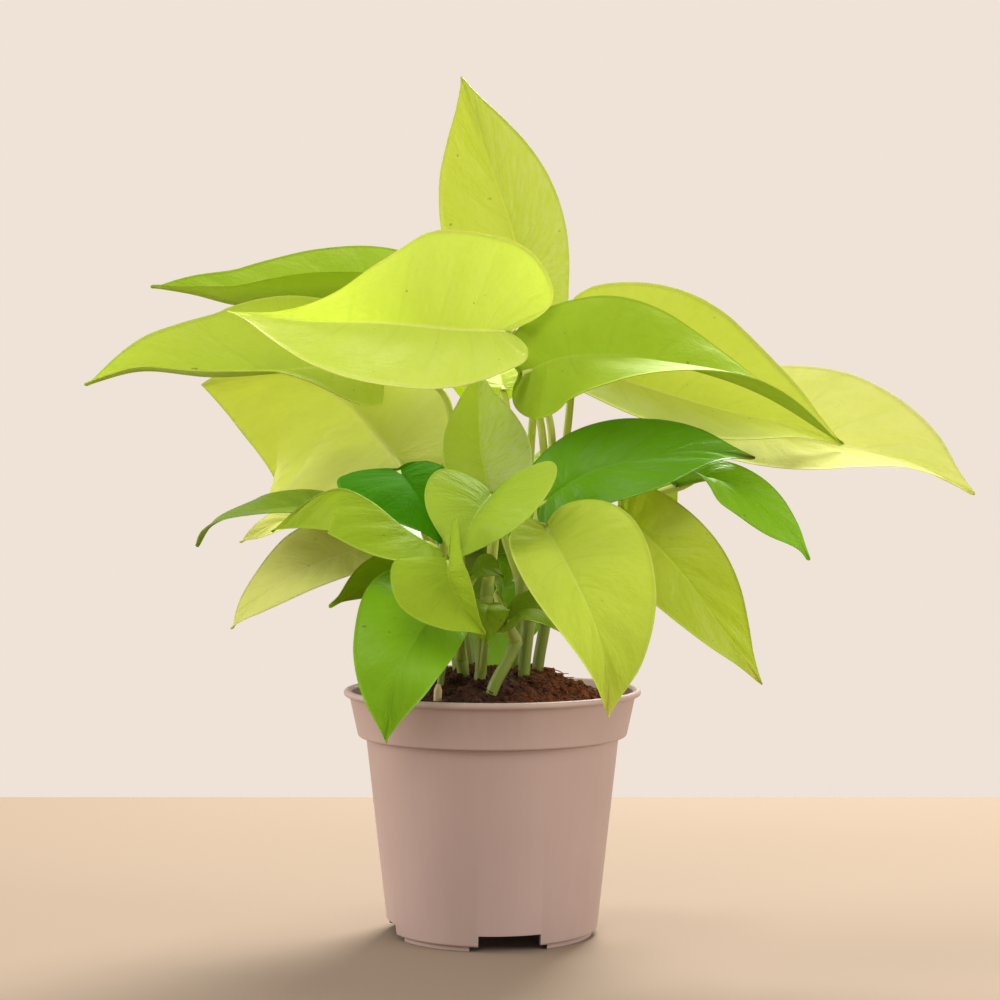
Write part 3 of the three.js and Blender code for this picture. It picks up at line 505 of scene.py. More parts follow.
LEAVES = {
    "crown": leaf(
        "back_right", 0.9, [(14, 8, 176), (16, 8, 210)],
        [(13, 10, 222), (8, 12, 247), (-2, 10, 277), (-11, 4, 304)],
        (0, -1, 0.1), (27, 20), both(20), "lime_painted_sheen", "yellow", full=(0.9, 0.8)),
    "broad_left": leaf(
        "front_right", 0.97, [(17, -12, 150), (18, -11, 172), (13, -11, 198), (6, -18, 214)],
        [(5, -37, 211), (-11, -43, 211), (-37, -48, 213), (-64, -44, 214), (-90, -34, 218)],
        (0, -0.89, 0.45), (36, 34), both(25), "lime_bright", "yellow", quilt=1.7,
        outline=(BROAD_LOWER, BROAD_UPPER)),
    "back_left": leaf(
        "back_left", 0.93, [(-9, 17, 178), (-12, 19, 212)],
        [(-29, 22, 226), (-61, 21, 224), (-91, 19, 224), (-109, 16, 228), (-123, 12, 230)],
        (0, -0.1, 1), (24, 29), [[30, 30], [46, 46]], "fresh_green", "green"),
    "left": leaf(
        "left", 0.97, [(-16, 2, 150), (-14, 1, 170), (-18, -1, 192)],
        [(-41, -8, 202), (-68, -14, 199), (-97, -14, 197), (-123, -10, 199), (-144, -4, 194)],
        (0, -0.52, 0.85), (20, 35), [[20, 45], [21, 21]], "apple_green", "yellow", lobe=(-70, 0),
        full=(1, 0.85), heart=(0.2, 1)),
    "left_turned": leaf(
        "left", 0.74, [(-24, 7, 146)],
        [(-32, 8, 165), (-41, 16, 176), (-54, 22, 189), (-74, 24, 198), (-106, 20, 195)],
        (-0.2, 0.95, 0.1), (30, 49), both(8), "lime_yellow", "yellow", full=(1, 0.58)),
    "small_upright": leaf(
        "front", 0.92, [(0, -19, 142)],
        [(-1, -14, 155), (-4, -10, 171), (-5, -8, 187), (-5, -12, 200)],
        (0, -1, 0.1), (14, 18), both(12), "green_painted_sheen", "yellow", heart=(0.4, 1)),
    "right": leaf(
        "front_right", 0.86, [(20, -19, 142), (21, -17, 165), (19, -22, 184)],
        [(10, -31, 197), (23, -34, 202), (40, -36, 203), (62, -35, 200), (91, -27, 191), (123, -12, 173)],
        (0, -0.7, 0.7), (25, 23), [[12, 2, -40], [-30, 45, 40]], "fresh_green", "green", quilt=1.6,
        outline=(RIGHT_UPPER, OUTLINE), heart=(0.5, 0.6)),
    "right_behind": leaf(
        "right", 0.97, [(25, -1, 165), (28, 1, 192)],
        [(29, 2, 202), (53, 6, 194), (81, 10, 186), (107, 12, 180), (126, 12, 173)],
        (0, -0.7, 0.7), (42, 32), both(22), "lime_soft", "yellow", full=(0.95, 1)),
    "far_right": leaf(
        "right", 0.88, [(38, 14, 156), (64, 25, 176)],
        [(84, 26, 181), (109, 26, 176), (129, 26, 173), (152, 24, 167), (175, 18, 155)],
        (0, -0.6, 0.8), (33, 33), [[20, 20], [8, 38]], "lime_pale", "yellow", full=(0.85, 1),
        quilt=1.8),
    "dark_right": leaf(
        "front_right", 0.76, [(15, -22, 134)],
        [(16, -26, 152), (33, -31, 163), (53, -31, 168), (72, -27, 171), (91, -20, 168)],
        (0, -0.8, 0.6), (17, 14), [[10, 10], [-10, 5]], "deep_green", "dark", full=(0.9, 1),
        heart=(1, 0.4)),
    "long_tip": leaf(
        "right", 0.79, [(40, 3, 145), (60, 3, 156)],
        [(66, -2, 159), (78, -5, 161), (89, -7, 156), (100, -7, 148), (107, -6, 141), (112, -4, 132)],
        (0.2, -0.6, 0.8), (10, 14), [[12, 12], [5, -5]], "mid_green", "dark", lobe=(0, 95),
        full=(0.8, 0.7)),
    "hanging_right": leaf(
        "front_right", 0.68, [(14, -25, 124), (17, -39, 132)],
        [(18, -47, 145), (25, -62, 132), (33, -70, 115), (37, -70, 101), (38, -64, 83)],
        (0, -0.9, 0.4), (27, 16), both(10), "chartreuse", "yellow", full=(1.04, 1.2),
        heart=(0.8, 1.2)),
    "hanging_far_right": leaf(
        "right", 0.68, [(32, -8, 140)],
        [(45, -14, 150), (65, -20, 129), (79, -22, 110), (94, -15, 89)],
        (0.2, -0.95, 0.2), (17, 18), both(10), "lime_green", "yellow", full=(1, 1.3)),
    "centre": leaf(
        "front", 0.84, [(1, -31, 142)],
        [(0, -40, 156), (-6, -52, 148), (-12, -64, 134)],
        (0, -0.35, 0.94), (33, 20), [[40, 24, 16], [28, 28]], "spring_green", "green",
        full=(1.15, 1), heart=(1.3, 1)),
    "curled_front": leaf(
        "front_left", 0.95, [(-12, -33, 128)],
        [(-14, -66, 135), (-14, -70, 130), (-12, -72, 125), (-8, -74, 118), (-2, -75, 111)],
        (0, -0.85, 0.5), (10, 19), [[62, 62], [0, 0]], "fresh_green", "green", full=(1, 1.2),
        heart=(6, 0.6)),
    "dark_left": leaf(
        "left", 0.8, [(-27, -5, 150)],
        [(-33, -11, 164), (-27, -24, 157), (-21, -33, 147), (-17, -37, 139)],
        (0, -0.6, 0.8), (14, 25), both(8), "vivid_green", "dark", full=(1, 1.15), heart=(0.4, 1.2)),
    "arched_left": leaf(
        "front_left", 0.8, [(-21, -29, 130)],
        [(-18, -45, 138), (-28, -45, 144), (-41, -43, 154), (-51, -41, 158), (-62, -38, 154),
         (-75, -34, 143)],
        (0, -0.6, 0.8), (20, 11), [[22, -16, -18], [-105, -105]], "fresh_green", "green",
        full=(0.75, 1), heart=(0.5, 1)),
    "low_left": leaf(
        "left", 0.64, [(-32, -6, 138)],
        [(-50, -10, 150), (-65, -14, 151), (-83, -16, 150), (-98, -12, 145), (-104, -8, 137)],
        (0, -0.2, 0.98), (20, 20), both(6), "soft_green", "green"),
    "pale_low_left": leaf(
        "left", 0.54, [(-28, -4, 124)],
        [(-43, -6, 138), (-68, -12, 128), (-85, -10, 116), (-92, -8, 108)],
        (-0.3, -0.6, 0.75), (18, 20), both(10), "lime_pale", "yellow"),
    "tip_left": leaf(
        "back_left", 0.72, [(-36, 32, 132)],
        [(-60, 38, 146), (-78, 38, 145), (-94, 36, 137)],
        (0, -0.5, 0.85), (9, 9), both(8), "lime_pale", "yellow"),
    "shaded_left": leaf(
        "front_left", 0.7, [(-20, -15, 119)],
        [(-25, -20, 130), (-40, -26, 126), (-56, -28, 117)],
        (-0.2, 0.5, 0.8), (14, 13), both(8), "olive", "dark"),
    "hanging_left": leaf(
        "front_left", 0.6, [(-12, -27, 115)],
        [(-16, -36, 121), (-24, -54, 110), (-30, -62, 99), (-33, -62, 89), (-35, -58, 74)],
        (0, -0.9, 0.4), (15, 23), both(10), "mid_green", "green", full=(0.8, 1.1), heart=(0.3, 1)),
    "low_right": leaf(
        "slanting", 0.96, [], [(5, -31, 112), (12, -34, 117), (20, -37, 115), (28, -41, 106)],
        (0, -0.5, 0.85), (9, 9), both(8), "olive", "dark"),
    "small_centre": leaf(
        "front", 0.68, [(-8, -30, 121)], [(-8, -37, 127), (-3, -41, 131), (4, -43, 128)],
        (0, -0.5, 0.85), (8, 8), both(8), "olive", "dark", stalk=1.0),
    "small_drooping": leaf(
        "front", 0.46, [], [(-1, -31, 118), (-2, -37, 116), (-2, -41, 105)],
        (0, -0.9, 0.4), (8, 8), both(8), "olive", "green", stalk=1.0),
    "rear_high": leaf(
        "back_right", 0.97, [(8, 24, 172)],
        [(4, 32, 194), (2, 47, 200), (0, 67, 198), (-5, 87.4, 182)],
        (0, 0.2, 1), (28, 28), both(14), "chartreuse", "yellow"),
    "rear_left": leaf(
        "back_left", 0.86, [(-16, 28, 155)],
        [(-20, 36, 170), (-32, 52, 177), (-46, 68, 172), (-58, 80, 154)],
        (-0.1, 0.1, 1), (25, 25), both(14), "lime_soft", "yellow"),
    "rear_right": leaf(
        "back_right", 0.84, [(19, 28, 150)],
        [(26, 36, 164), (42, 50, 169), (58, 64, 163), (72, 74, 146)],
        (0.1, 0.1, 1), (23, 23), both(14), "fresh_green", "green"),
    "rear_low_left": leaf(
        "back_left", 0.6, [(-12, 28, 124)],
        [(-14, 36, 134), (-24, 54, 139), (-36, 68, 133), (-44, 78, 120)],
        (-0.1, 0.2, 1), (18, 18), both(12), "deep_green", "dark"),
    "rear_low_right": leaf(
        "back_right", 0.6, [(15, 28, 118)],
        [(22, 38, 130), (32, 54, 135), (44, 66, 129), (52, 74, 116)],
        (0.1, 0.2, 1), (18, 18), both(12), "fresh_green", "green"),
    "rear_low_middle": leaf(
        "back_right", 0.5, [(6, 27, 108)],
        [(3, 36, 117), (1, 45, 122), (-2, 53, 110), (-4, 56, 84)],
        (0, 0.8, 0.5), (25, 25), both(12), "mid_green", "green", full=(0.8, 0.8), heart=(0.3, 0.3)),
    "rear_middle": leaf(
        "back_right", 0.72, [(6, 28, 134)],
        [(2, 36, 148), (2, 53, 153), (4, 71, 147), (6, 86, 130)],
        (0, 0.2, 1), (20, 20), both(12), "mid_green", "dark"),
}


# Leaf blades

def outline_at(vein, outline):
    """How far along the midrib and how far out the margin lies, by shares of a half outline."""
    points = np.array(outline, float)
    last = len(points) - 1
    place = vein * last
    span = np.minimum(place.astype(int), last - 1)
    w = (place - span)[..., None]
    a = points[np.maximum(span - 1, 0)]
    b, c = points[span], points[span + 1]
    d = points[np.minimum(span + 2, last)]
    leave, enter = (c - a) / 2, (d - b) / 2
    place = (2 * (b - c) + leave + enter) * w ** 3 + (3 * (c - b) - 2 * leave - enter) * w ** 2
    place = place + leave * w + b
    return place[..., 0], place[..., 1]


def margin_of(leaf, across, vein):
    """The same for places on a blade, each by the outline of its own half."""
    left, right = leaf.get("outline", (OUTLINE, OUTLINE))
    return np.where(across < 0, outline_at(vein, left), outline_at(vein, right))


def fold_at(angles, share):
    """The fold at a share of the midrib: a line through two angles, or a curve through three."""
    if len(angles) == 2:
        return angles[0] + (angles[1] - angles[0]) * share
    base, middle, tip = angles
    return (base * (1 - share) * (1 - 2 * share) + tip * share * (2 * share - 1)
            + 4 * middle * share * (1 - share))


def frame_at(leaf, rib, share):
    flat = np.ravel(share)
    along = rib.heading(flat)
    face = np.array(leaf["face"], float)
    face = unit(face - (along @ face)[:, None] * along)
    right = np.cross(along, face)
    shape = (*np.shape(share), 3)
    return [v.reshape(shape) for v in (rib.at(flat), along, face, right)]


def blade_surface(leaf, rib, across, vein):
    """Places on the blade's upper side, as in the plain solid."""
    edge_along, edge_out = margin_of(leaf, across, vein)
    reach = np.abs(across)
    side = (across >= 0).astype(int)

    def own(key, usual):
        return np.asarray(leaf.get(key, usual), float)[side]

    margin = np.where(edge_along > 0, np.maximum(edge_along, 0) ** own("full", (1, 1)),
                      own("heart", (1, 1)) * edge_along)
    along = vein ** VEIN_SWEEP + (margin - vein ** VEIN_SWEEP) * reach ** VEIN_BOW
    share = np.clip(along, 0, 1)
    centre, forward, face, right = frame_at(leaf, rib, share)
    fold = np.where(side, fold_at(leaf["fold"][1], share), fold_at(leaf["fold"][0], share))
    lobe = own("lobe", (0, 0)) * (1 - smooth(along, -0.1, 0.35))
    start = np.radians(fold + lobe) + BLADE_ARCH * edge_out / 2
    end = start - BLADE_ARCH * edge_out * reach
    radius = own("half", None) / BLADE_ARCH
    sideways = radius * (np.sin(start) - np.sin(end)) * np.where(side, 1, -1)
    ripple = WAVE_HEIGHT * reach ** 2 * np.sin(2 * np.pi * (WAVE_COUNT * vein + WAVE_SHIFT * side))
    upward = radius * (np.cos(end) - np.cos(start)) + ripple
    beyond = rib.length * (along - share)
    return (centre + forward * beyond[..., None] + right * sideways[..., None] + face * upward[..., None])


def grid_normals(places):
    down = np.gradient(places, axis=0)
    over = np.gradient(places, axis=1)
    return unit(np.cross(over, down))


def blade_mesh(leaf, rib):
    """Points, faces and material places of a blade: a closed thin shell with its veins in relief."""
    rows = int(np.clip(rib.length * ROWS_EACH_MM, *ROWS_LIMITS))
    steps = np.linspace(-1, 1, BLADE_COLUMNS)
    across, vein = np.meshgrid(np.sign(steps) * np.abs(steps) ** 1.2, np.arange(1, rows) / rows)
    surface = blade_surface(leaf, rib, across, vein)
    normals = grid_normals(surface)
    reach = np.abs(across)
    out = margin_of(leaf, across, vein)[1] * reach * np.where(across < 0, *leaf["half"])
    to_vein = np.abs((vein * SIDE_VEINS + 0.5) % 1 - 0.5)
    open_blade = smooth(reach, 0.0, 0.3) * (1 - smooth(reach, 0.75, 1.0)) * smooth(vein, 0.03, 0.15)
    size = min(1.0, rib.length / FULL_RELIEF)
    relief = -GROOVE_DEPTH * size * bell(out, GROOVE_WIDTH) * (1 - vein)
    relief = relief - VEIN_DEPTH * bell(to_vein, VEIN_WIDTH) * open_blade
    quilt = QUILT_HEIGHT * size * leaf.get("quilt", 1.0)
    relief = relief - quilt * np.cos(2 * np.pi * SIDE_VEINS * vein) * open_blade
    upper = surface + normals * relief[..., None]
    keel = KEEL_HEIGHT * size * bell(out, KEEL_WIDTH) * (1 - vein) ** 0.7
    depth = BLADE_THICKNESS * (1 - 0.35 * reach ** 8) + keel
    lower = surface + normals * (0.5 * relief - depth)[..., None]
    ends = frame_at(leaf, rib, np.array([0.0, 1.0]))
    lower_ends = ends[0] - ends[2] * np.array(END_DEPTHS)[:, None]
    points = np.vstack([upper.reshape(-1, 3), ends[0], lower.reshape(-1, 3), lower_ends])
    count = len(points) // 2
    notch, tip = count - 2, count - 1
    grid = np.arange(notch).reshape(-1, BLADE_COLUMNS)
    quads = np.stack([grid[:-1, :-1], grid[:-1, 1:], grid[1:, 1:], grid[1:, :-1]], axis=-1)
    faces = [*quads.reshape(-1, 4)]
    faces += [(notch, k, j) for j, k in zip(grid[0], grid[0, 1:])]
    faces += [(tip, j, k) for j, k in zip(grid[-1], grid[-1, 1:])]
    faces += [[count + v for v in face[::-1]] for face in faces]
    for edge in ([notch, *grid[:, 0], tip], [tip, *grid[::-1, -1], notch]):
        faces += [(b, a, count + a, count + b) for a, b in zip(edge, edge[1:])]
    place = np.zeros((2 * count, 3))
    place[:notch, 0] = across.ravel()
    place[:notch, 1] = vein.ravel()
    place[tip, 1] = 1
    place[count:] = place[:count]
    place[count:, 2] = 1
    return points, faces, place


# Petioles and vines

def tube_mesh(route, radius_at, sides, top, channel=0.0):
    """A closed tube along a route. top is the way that its last ring's upper side looks, and channel
    is the depth of the groove along that side, as a share of the radius."""
    steps = max(6, int(route.length / 2))
    shares = np.linspace(0, 1, steps + 1)
    centres = route.at(shares)
    heading = route.heading(shares)
    ups = np.zeros_like(heading)
    up = np.array(top, float)
    for i in range(steps, -1, -1):
        up = unit(up - (up @ heading[i]) * heading[i])
        ups[i] = up
    sideways = np.cross(heading, ups)
    turns = np.linspace(0, 2 * np.pi, sides, endpoint=False)
    from_top = np.minimum(turns, 2 * np.pi - turns)
    groove = 1 - channel * bell(from_top, 0.5) + 0.3 * channel * bell(from_top - 0.95, 0.35)
    radii = radius_at(shares)[:, None] * groove
    spokes = ups[:, None] * np.cos(turns)[:, None] + sideways[:, None] * np.sin(turns)[:, None]
    rings = centres[:, None] + spokes * radii[..., None]
    points = np.vstack([rings.reshape(-1, 3), centres[:1], centres[-1:]])
    foot, head = len(points) - 2, len(points) - 1
    faces = closed_faces(np.arange(foot).reshape(-1, sides), foot, head)
    place = np.zeros((len(points), 3))
    place[:-2, 0] = np.tile(np.sin(turns), steps + 1)
    place[:-2, 1] = np.repeat(shares * route.length / 10, sides)
    place[:-2, 2] = np.tile(np.cos(turns), steps + 1)
    return points, faces, place


def petiole_route(leaf, rib):
    start = VINES["vine_" + leaf["vine"]]["route"].at(leaf["at"])[0]
    centre, along, face, _ = (v[0] for v in frame_at(leaf, rib, np.array([0.0])))
    joint = centre - face * (SOLID_BLADE + JOINT_DEPTH)
    end = centre + along * JOINT_REACH - face * SOLID_BLADE
    return Route([start, *leaf["via"], joint, end])


def petiole_radius(thick, length):
    """Thickest where it clasps the vine, with a swollen knee under the blade and a thin end in it."""
    def radius_at(share):
        to_end = (1 - share) * length
        knee = 1 + KNEE["swelling"] * bell(to_end - KNEE["from_end"], KNEE["reach"])
        clasp = 1 + CLASP["swelling"] * bell(share * length - CLASP["from_foot"], CLASP["reach"])
        return thick * (1.2 - 0.3 * share) * knee * clasp * (0.35 + 0.65 * smooth(to_end, 0, 3.5))
    return radius_at


def make_leaf(name, leaf, blades, petiole_skin):
    rib = Route(leaf["rib"])
    points, faces, place = blade_mesh(leaf, rib)
    route = petiole_route(leaf, rib)
    radius_at = petiole_radius(leaf.get("stalk", PETIOLE_RADIUS), route.length)
    stalk_points, stalk_faces, stalk_place = tube_mesh(
        route, radius_at, PETIOLE_SIDES, leaf["face"], CHANNEL_DEPTH)
    stalk_faces = [[v + len(points) for v in face] for face in stalk_faces]
    material_of_face = np.repeat([0, 1], [len(faces), len(stalk_faces)]).astype(np.int32)
    piece = mesh_object(
        name + "_fine", np.vstack([points, stalk_points]), [*faces, *stalk_faces],
        [blades[leaf["tone"]], petiole_skin], material_of_face, np.vstack([place, stalk_place]))
    finish_piece(piece, "leaf_" + leaf["slot"], name)


def vine_radius(stem, joints):
    """A vine swells at each node, where a petiole clasps it, with the old leaf's scar above."""
    length = stem["route"].length

    def radius_at(share):
        walked = share * length
        radius = stem["radius"] * np.ones_like(share)
        for joint in joints:
            above = walked - joint * length
            radius = radius + NODE["swelling"] * bell(above, NODE["reach"])
            radius = radius - SCAR["depth"] * bell(above - SCAR["above_node"], SCAR["reach"])
        return radius * (0.45 + 0.55 * smooth((1 - share) * length, 0, 2.2))
    return radius_at


def make_vines(skins):
    for name, stem in VINES.items():
        joints = [leaf["at"] for leaf in LEAVES.values() if "vine_" + leaf["vine"] == name]
        radius_at = vine_radius(stem, joints)
        points, faces, place = tube_mesh(stem["route"], radius_at, VINE_SIDES, (0, -1, 0))
        slot = "stem_dry" if name == "stub_dried" else "stem_green"
        finish_piece(mesh_object(name + "_fine", points, faces, [skins[slot]], place=place), slot, name)


# Pot

def arc(centre, radius, start, end, steps=6):
    turns = np.radians(np.linspace(start, end, steps))
    return [(centre[0] + radius * math.cos(t), centre[1] + radius * math.sin(t)) for t in turns]


def pot_profile():
    inner_band_top = BAND_TOP_RADIUS - POT_WALL
    inner_band_foot = BAND_FOOT_RADIUS - POT_WALL
    inner_body_top = BODY_TOP_RADIUS - POT_WALL
    inner_body_foot = BODY_FOOT_RADIUS - POT_WALL
    return [
        (0, FLOOR_UNDERSIDE), (FOOT_RING_RADIUS - POT_WALL, FLOOR_UNDERSIDE),
        *arc((FOOT_RING_RADIUS - POT_WALL + 0.3, 0.3), 0.3, 180, 270, 4),
        *arc((FOOT_RING_RADIUS - 0.3, 0.3), 0.3, 270, 360, 4),
        (FOOT_RING_RADIUS, FOOT_RING_HEIGHT),
        *arc((BODY_FOOT_RADIUS - 0.9, FOOT_RING_HEIGHT + 1.0), 1.0, 270, 354),
        (BODY_TOP_RADIUS, BAND_FOOT_HEIGHT - 1.2),
        (BODY_TOP_RADIUS + 0.25, BAND_FOOT_HEIGHT - 0.55),
        *arc((BAND_FOOT_RADIUS - 0.85, BAND_FOOT_HEIGHT + 0.95), 0.95, 262, 354),
        (BAND_TOP_RADIUS - 0.05, POT_HEIGHT - 2.5), (BAND_TOP_RADIUS + 0.2, POT_HEIGHT - 2.2),
        *arc((RIM_RADIUS - LIP_RADIUS, POT_HEIGHT - LIP_RADIUS), LIP_RADIUS, -62, 95, 10),
        (RIM_RADIUS - 2.2, POT_HEIGHT - 0.25), (inner_band_top + 0.25, POT_HEIGHT - 0.9),
        (inner_band_top, POT_HEIGHT - 2.2), (inner_band_foot, BAND_FOOT_HEIGHT + 1.6),
        (inner_band_foot - 0.5, BAND_FOOT_HEIGHT + 0.3), (inner_body_top, BAND_FOOT_HEIGHT - 1.0),
        *arc((inner_body_foot - 0.2, FLOOR_TOP + 1.0), 1.0, 0, -90), (0, FLOOR_TOP),
    ]


def turned_mesh(profile, sides):
    """Points and faces of a solid turned from a profile that starts and ends on the axis."""
    points = [(0, 0, profile[0][1])]
    for radius, height in profile[1:-1]:
        points += ring_of(radius, height, sides)
    points.append((0, 0, profile[-1][1]))
    last = len(points) - 1
    return points, closed_faces(np.arange(1, last).reshape(-1, sides), 0, last)


def notch_cutter(width, depth, low, high, turn):
    """A box across the foot ring, at a turn about the pot's axis."""
    front = -FOOT_RING_RADIUS - depth / 2
    points, faces = box_mesh(-width / 2, width / 2, front, front + depth, low, high)
    c, s = math.cos(turn), math.sin(turn)
    return [(c * x - s * y, s * x + c * y, z) for x, y, z in points], faces


def drain_cutter(place):
    low, high, out = FLOOR_UNDERSIDE - 2, FLOOR_TOP + 2, DRAIN["radius"]
    points, faces = turned_mesh([(0, low), (out, low), (out, high), (0, high)], DRAIN_SIDES)
    return np.array(points) + place, faces


def make_pot(material):
    pot = mesh_object("pot_fine", *turned_mesh(pot_profile(), POT_SIDES), [material])
    shapes = []
    for i in range(NOTCH["count"]):
        turn = math.radians(NOTCH["turn"]) + 2 * math.pi * i / NOTCH["count"]
        shapes.append(notch_cutter(NOTCH["width"], 20, -1, NOTCH["height"], turn))
        # A little deeper and lower, so that no two cutters have a side in one plane
        shapes.append(notch_cutter(NOTCH["ring_width"], 20.2, -1.1, FOOT_RING_HEIGHT, turn))
    for place in [(0, 0, 0), *ring_of(DRAIN["circle"], 0, DRAIN["count"])]:
        shapes.append(drain_cutter(place))
    for points, faces in shapes:
        cutter = mesh_object("cutter", points, faces, [])
        cut = pot.modifiers.new("cut", "BOOLEAN")
        cut.operation = "DIFFERENCE"
        cut.solver = "EXACT"
        cut.object = cutter
        apply_modifiers(pot)
        bpy.data.objects.remove(cutter)
    pot.data.shade_smooth()
    pot.data.set_sharp_from_angle(angle=math.radians(35))
    finish_piece(pot, "pot_plastic", "pot")


# Soil

def soil_height(x, y):
    out = np.hypot(x, y) / SOIL_RADIUS
    dome = SOIL_CROWN + (SOIL_EDGE - SOIL_CROWN) * smooth(out, 0.35, 1)
    lump = np.sin(0.31 * x + 1.3) * np.sin(0.27 * y + 0.4) + 0.6 * np.sin(0.53 * x - 0.47 * y)
    return dome + SOIL_LUMP * lump * (1 - smooth(out, 0.8, 1))


def soil_surface():
    """Points of the soil's crumbly top: rings from the middle out to the pot's wall."""
    points = [(0.0, 0.0, float(soil_height(0.0, 0.0)))]
    for i in range(1, SOIL_RINGS + 1):
        banked = BANKED_CRUMBS * float(smooth(i / SOIL_RINGS, 0.55, 1.0))
        for x, y, _ in ring_of(SOIL_RADIUS * i / SOIL_RINGS, 0, SOIL_SIDES):
            fine = noise.fractal(Vector((x, y, 0)) * 0.25, 0.6, 2.1, 5)
            points.append((x, y, float(soil_height(x, y)) + SOIL_ROUGHNESS * fine + banked))
    return points


def make_soil(material):
    """Makes the soil, and gives the points and faces of its top."""
    top_points = soil_surface()
    points = [
        *top_points,
        *ring_of(BAND_FOOT_RADIUS - POT_WALL - 0.4, BAND_FOOT_HEIGHT + 2, SOIL_SIDES),
        *ring_of(BODY_TOP_RADIUS - POT_WALL - 0.4, BAND_FOOT_HEIGHT - 1, SOIL_SIDES),
        *ring_of(BODY_FOOT_RADIUS - POT_WALL - 0.6, FLOOR_TOP + 0.3, SOIL_SIDES)]
    grid = np.arange(1, len(points)).reshape(-1, SOIL_SIDES)
    beside = np.roll(grid, -1, axis=1)
    middle = [(0, j, k) for j, k in zip(grid[0], beside[0])]
    quads = np.stack([grid[:-1], grid[1:], beside[1:], beside[:-1]], axis=-1).reshape(-1, 4)
    faces = [*middle, *quads, grid[-1, ::-1]]
    finish_piece(mesh_object("soil_fine", points, faces, [material]), "soil_coir", "soil")
    return top_points, faces[:SOIL_RINGS * SOIL_SIDES]


FULL_TURN = 6.28  # radians
FIBRE_LEAN = 0.35


def scatter_tree(name, make_shape):
    """A node tree that strews a shape over a surface, turned and sized at random."""
    tree = bpy.data.node_groups.new(name, "GeometryNodeTree")
    inputs = {"Surface": "Geometry", "Density": "Float", "Smallest": "Float", "Largest": "Float",
              "Seed": "Int", "Finish": "Material"}
    for label, kind in inputs.items():
        tree.interface.new_socket(name=label, in_out="INPUT", socket_type="NodeSocket" + kind)
    tree.interface.new_socket(name="Strewn", in_out="OUTPUT", socket_type="NodeSocketGeometry")
    given = add(tree, "NodeGroupInput").outputs
    spots = add(tree, "GeometryNodeDistributePointsOnFaces", {
        "Mesh": given["Surface"], "Density": given["Density"], "Seed": given["Seed"]})
    shape, first_turn, last_turn = make_shape(tree)
    turn = add(tree, "FunctionNodeRandomValue", {
        0: first_turn, 1: last_turn, "Seed": given["Seed"]}, data_type="FLOAT_VECTOR")
    size = add(tree, "FunctionNodeRandomValue", {
        2: given["Smallest"], 3: given["Largest"], "Seed": given["Seed"]}, data_type="FLOAT")
    strewn = add(tree, "GeometryNodeInstanceOnPoints", {
        "Points": spots.outputs["Points"], "Instance": shape,
        "Rotation": turn, "Scale": size.outputs[1]})
    solid = add(tree, "GeometryNodeRealizeInstances", {0: strewn})
    finish = add(tree, "GeometryNodeSetMaterial", {"Geometry": solid, "Material": given["Finish"]})
    add(tree, "NodeGroupOutput", {0: finish})
    return tree


def crumb_shape(tree):
    """A lumpy crumb of unit radius, which may lie at any turn."""
    ball = add(tree, "GeometryNodeMeshIcoSphere", {"Radius": 1.0, "Subdivisions": 2})
    lump = add(tree, "ShaderNodeTexNoise", {"Scale": 1.3})
    push = add(tree, "ShaderNodeVectorMath", {
        0: lump.outputs["Color"], 1: (0.5, 0.5, 0.5)}, operation="SUBTRACT")
    more = add(tree, "ShaderNodeVectorMath", {0: push, "Scale": 1.6}, operation="SCALE")
    crumb = add(tree, "GeometryNodeSetPosition", {"Geometry": ball, "Offset": more})
    return crumb, (0, 0, 0), (FULL_TURN, FULL_TURN, FULL_TURN)


def fibre_shape(tree):
    """A bent coir fibre of unit length, which lies nearly level."""
    bow = add(tree, "GeometryNodeCurveQuadraticBezier", {
        "Resolution": 6, "Start": (-0.5, 0, 0.03), "Middle": (0.05, 0.28, 0.12),
        "End": (0.5, -0.05, 0.02)})
    ring = add(tree, "GeometryNodeCurvePrimitiveCircle", {"Resolution": 4, "Radius": 0.016})
    fibre = add(tree, "GeometryNodeCurveToMesh", {"Curve": bow, "Profile Curve": ring, "Fill Caps": True})
    return fibre, (-FIBRE_LEAN, -FIBRE_LEAN, 0), (FIBRE_LEAN, FIBRE_LEAN, FULL_TURN)


def strew(name, surface, reach, tree, material, density, smallest, largest, seed):
    """A piece of shapes strewn over a surface, within this reach of the pot's axis. The density is
    for a square metre, and the shapes' sizes are in metres."""
    points, faces = surface
    radii = np.hypot(*np.array(points).T[:2])
    piece = mesh_object(name, points, [face for face in faces if max(radii[list(face)]) < reach], [])
    layer = piece.modifiers.new("strew", "NODES")
    layer.node_group = tree
    values = {
        "Density": density, "Smallest": smallest, "Largest": largest, "Seed": seed, "Finish": material}
    for socket in tree.interface.items_tree:
        if socket.name in values:
            layer[socket.identifier] = values[socket.name]
    apply_modifiers(piece)
    piece.data.shade_smooth()
    finish_piece(piece, "soil_coir")


def make_crumbs(top, coir, fibre):
    crumbs = scatter_tree("strewn_crumbs", crumb_shape)
    fibres = scatter_tree("strewn_fibres", fibre_shape)
    to_wall = SOIL_RADIUS - 1.0
    strew("soil_crumbs_large", top, to_wall, crumbs, coir, 1.1e5, 0.0005, 0.0014, seed=3)
    strew("soil_crumbs_small", top, to_wall, crumbs, coir, 2.4e5, 0.0002, 0.0006, seed=8)
    strew("soil_fibres", top, SOIL_RADIUS - 6.5, fibres, fibre, 3.0e4, 0.004, 0.012, seed=5)


# Stage

FLOOR_REACH = 1600.0  # to each side and to the front, and the edge behind the plant
FLOOR_BACK = 327.0
FLOOR_DEPTH = 20.0


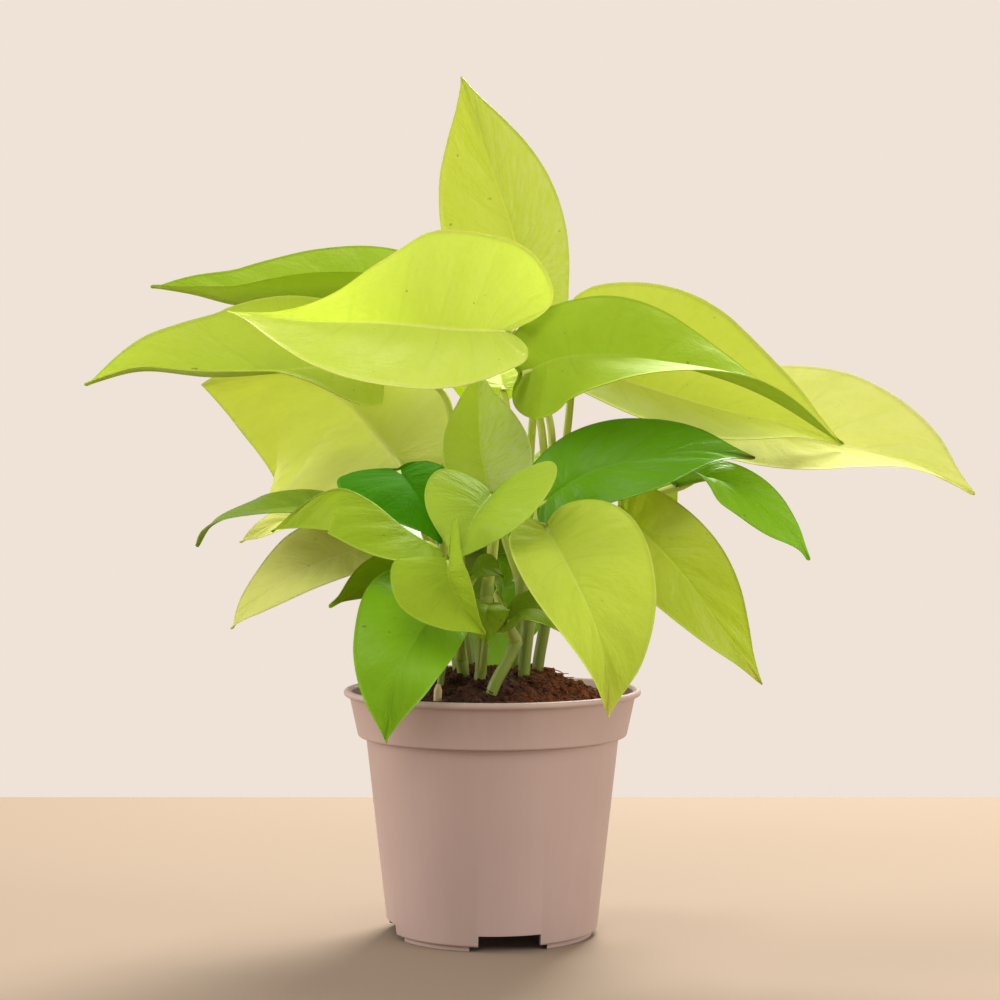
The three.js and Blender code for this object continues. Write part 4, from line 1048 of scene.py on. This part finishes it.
def make_stage():
    """A floor in matt paint."""
    paint, tree = new_material("floor_paint")
    skin = add(tree, "ShaderNodeBsdfPrincipled", {"Base Color": linear("#8C7A68"), "Roughness": 0.9})
    add(tree, "ShaderNodeOutputMaterial", {0: skin})
    shape = box_mesh(-FLOOR_REACH, FLOOR_REACH, -FLOOR_REACH, FLOOR_BACK, -FLOOR_DEPTH, 0)
    floor = mesh_object("floor", *shape, [paint])
    rounding = floor.modifiers.new("rounding", "BEVEL")
    rounding.width = 2 * MM
    rounding.segments = 3
    apply_modifiers(floor)
    floor.data.set_sharp_from_angle(angle=math.radians(35))


def soft_light(name, place, aim, size, watts, colour):
    data = bpy.data.lights.new(name, "AREA")
    data.shape = "SQUARE"
    data.size = size
    data.energy = watts
    data.color = linear(colour)[:3]
    light = bpy.data.objects.new(name, data)
    light.location = place
    light.rotation_euler = (Vector(aim) - Vector(place)).to_track_quat("-Z", "Y").to_euler()
    bpy.context.scene.collection.objects.link(light)


def make_light():
    middle = (0, 0, 0.17)
    soft_light("light_key", (-0.2, -1.0, 0.95), middle, 0.7, 6.5, "#FFFCF6")
    soft_light("light_above", (-0.05, 0.4, 1.25), middle, 0.3, 4, "#FFFCF6")
    soft_light("light_right", (1.25, -0.5, 0.45), middle, 0.8, 9, "#FFFAF4")
    soft_light("light_left", (-1.25, 0.0, 0.45), middle, 0.7, 10, "#FFFAF4")
    soft_light("light_back", (0.25, 0.85, 1.0), middle, 0.5, 32, "#FFFCF4")
    world = bpy.data.worlds.new("room")
    bpy.context.scene.world = world
    world.use_nodes = True
    tree = world.node_tree
    tree.nodes.clear()
    seen = add(tree, "ShaderNodeLightPath").outputs["Is Camera Ray"]
    wall = add(tree, "ShaderNodeBackground", {0: linear("#EFE3D7"), 1: 1.0})
    room = add(tree, "ShaderNodeBackground", {0: linear("#F8F2EA"), 1: 0.62})
    mix = add(tree, "ShaderNodeMixShader", {0: seen, 1: room, 2: wall})
    add(tree, "ShaderNodeOutputWorld", {0: mix})
    bpy.context.scene.view_settings.view_transform = "Standard"


make_camera()
make_stage()
make_light()

blade_finishes = {
    name: leaf_blade("leaf_" + name, face, under, **more) for name, (face, under, more) in TONES.items()}
petiole = stem_skin("petiole_skin", "#C0CC58", "#CCD670", "#A8A848")
skins = {"stem_green": stem_skin("vine_skin", "#98AC44", "#B0C262", "#7E6A38"),
         "stem_dry": stem_skin("dried_stem", "#C2A878", "#D0BA90", "#9A7A50", 0.75, 0.0)}
for leaf_name, leaf_values in LEAVES.items():
    make_leaf("leaf_" + leaf_name, leaf_values, blade_finishes, petiole)
make_vines(skins)
make_pot(moulded_polypropylene())
coir = damp_coir("damp_coir", "#40200E", "#783C18", "#A05C2E")
soil_top = make_soil(coir)
make_crumbs(soil_top, coir, damp_coir("coir_fibre", "#6A4220", "#8E5E34", "#B08450"))
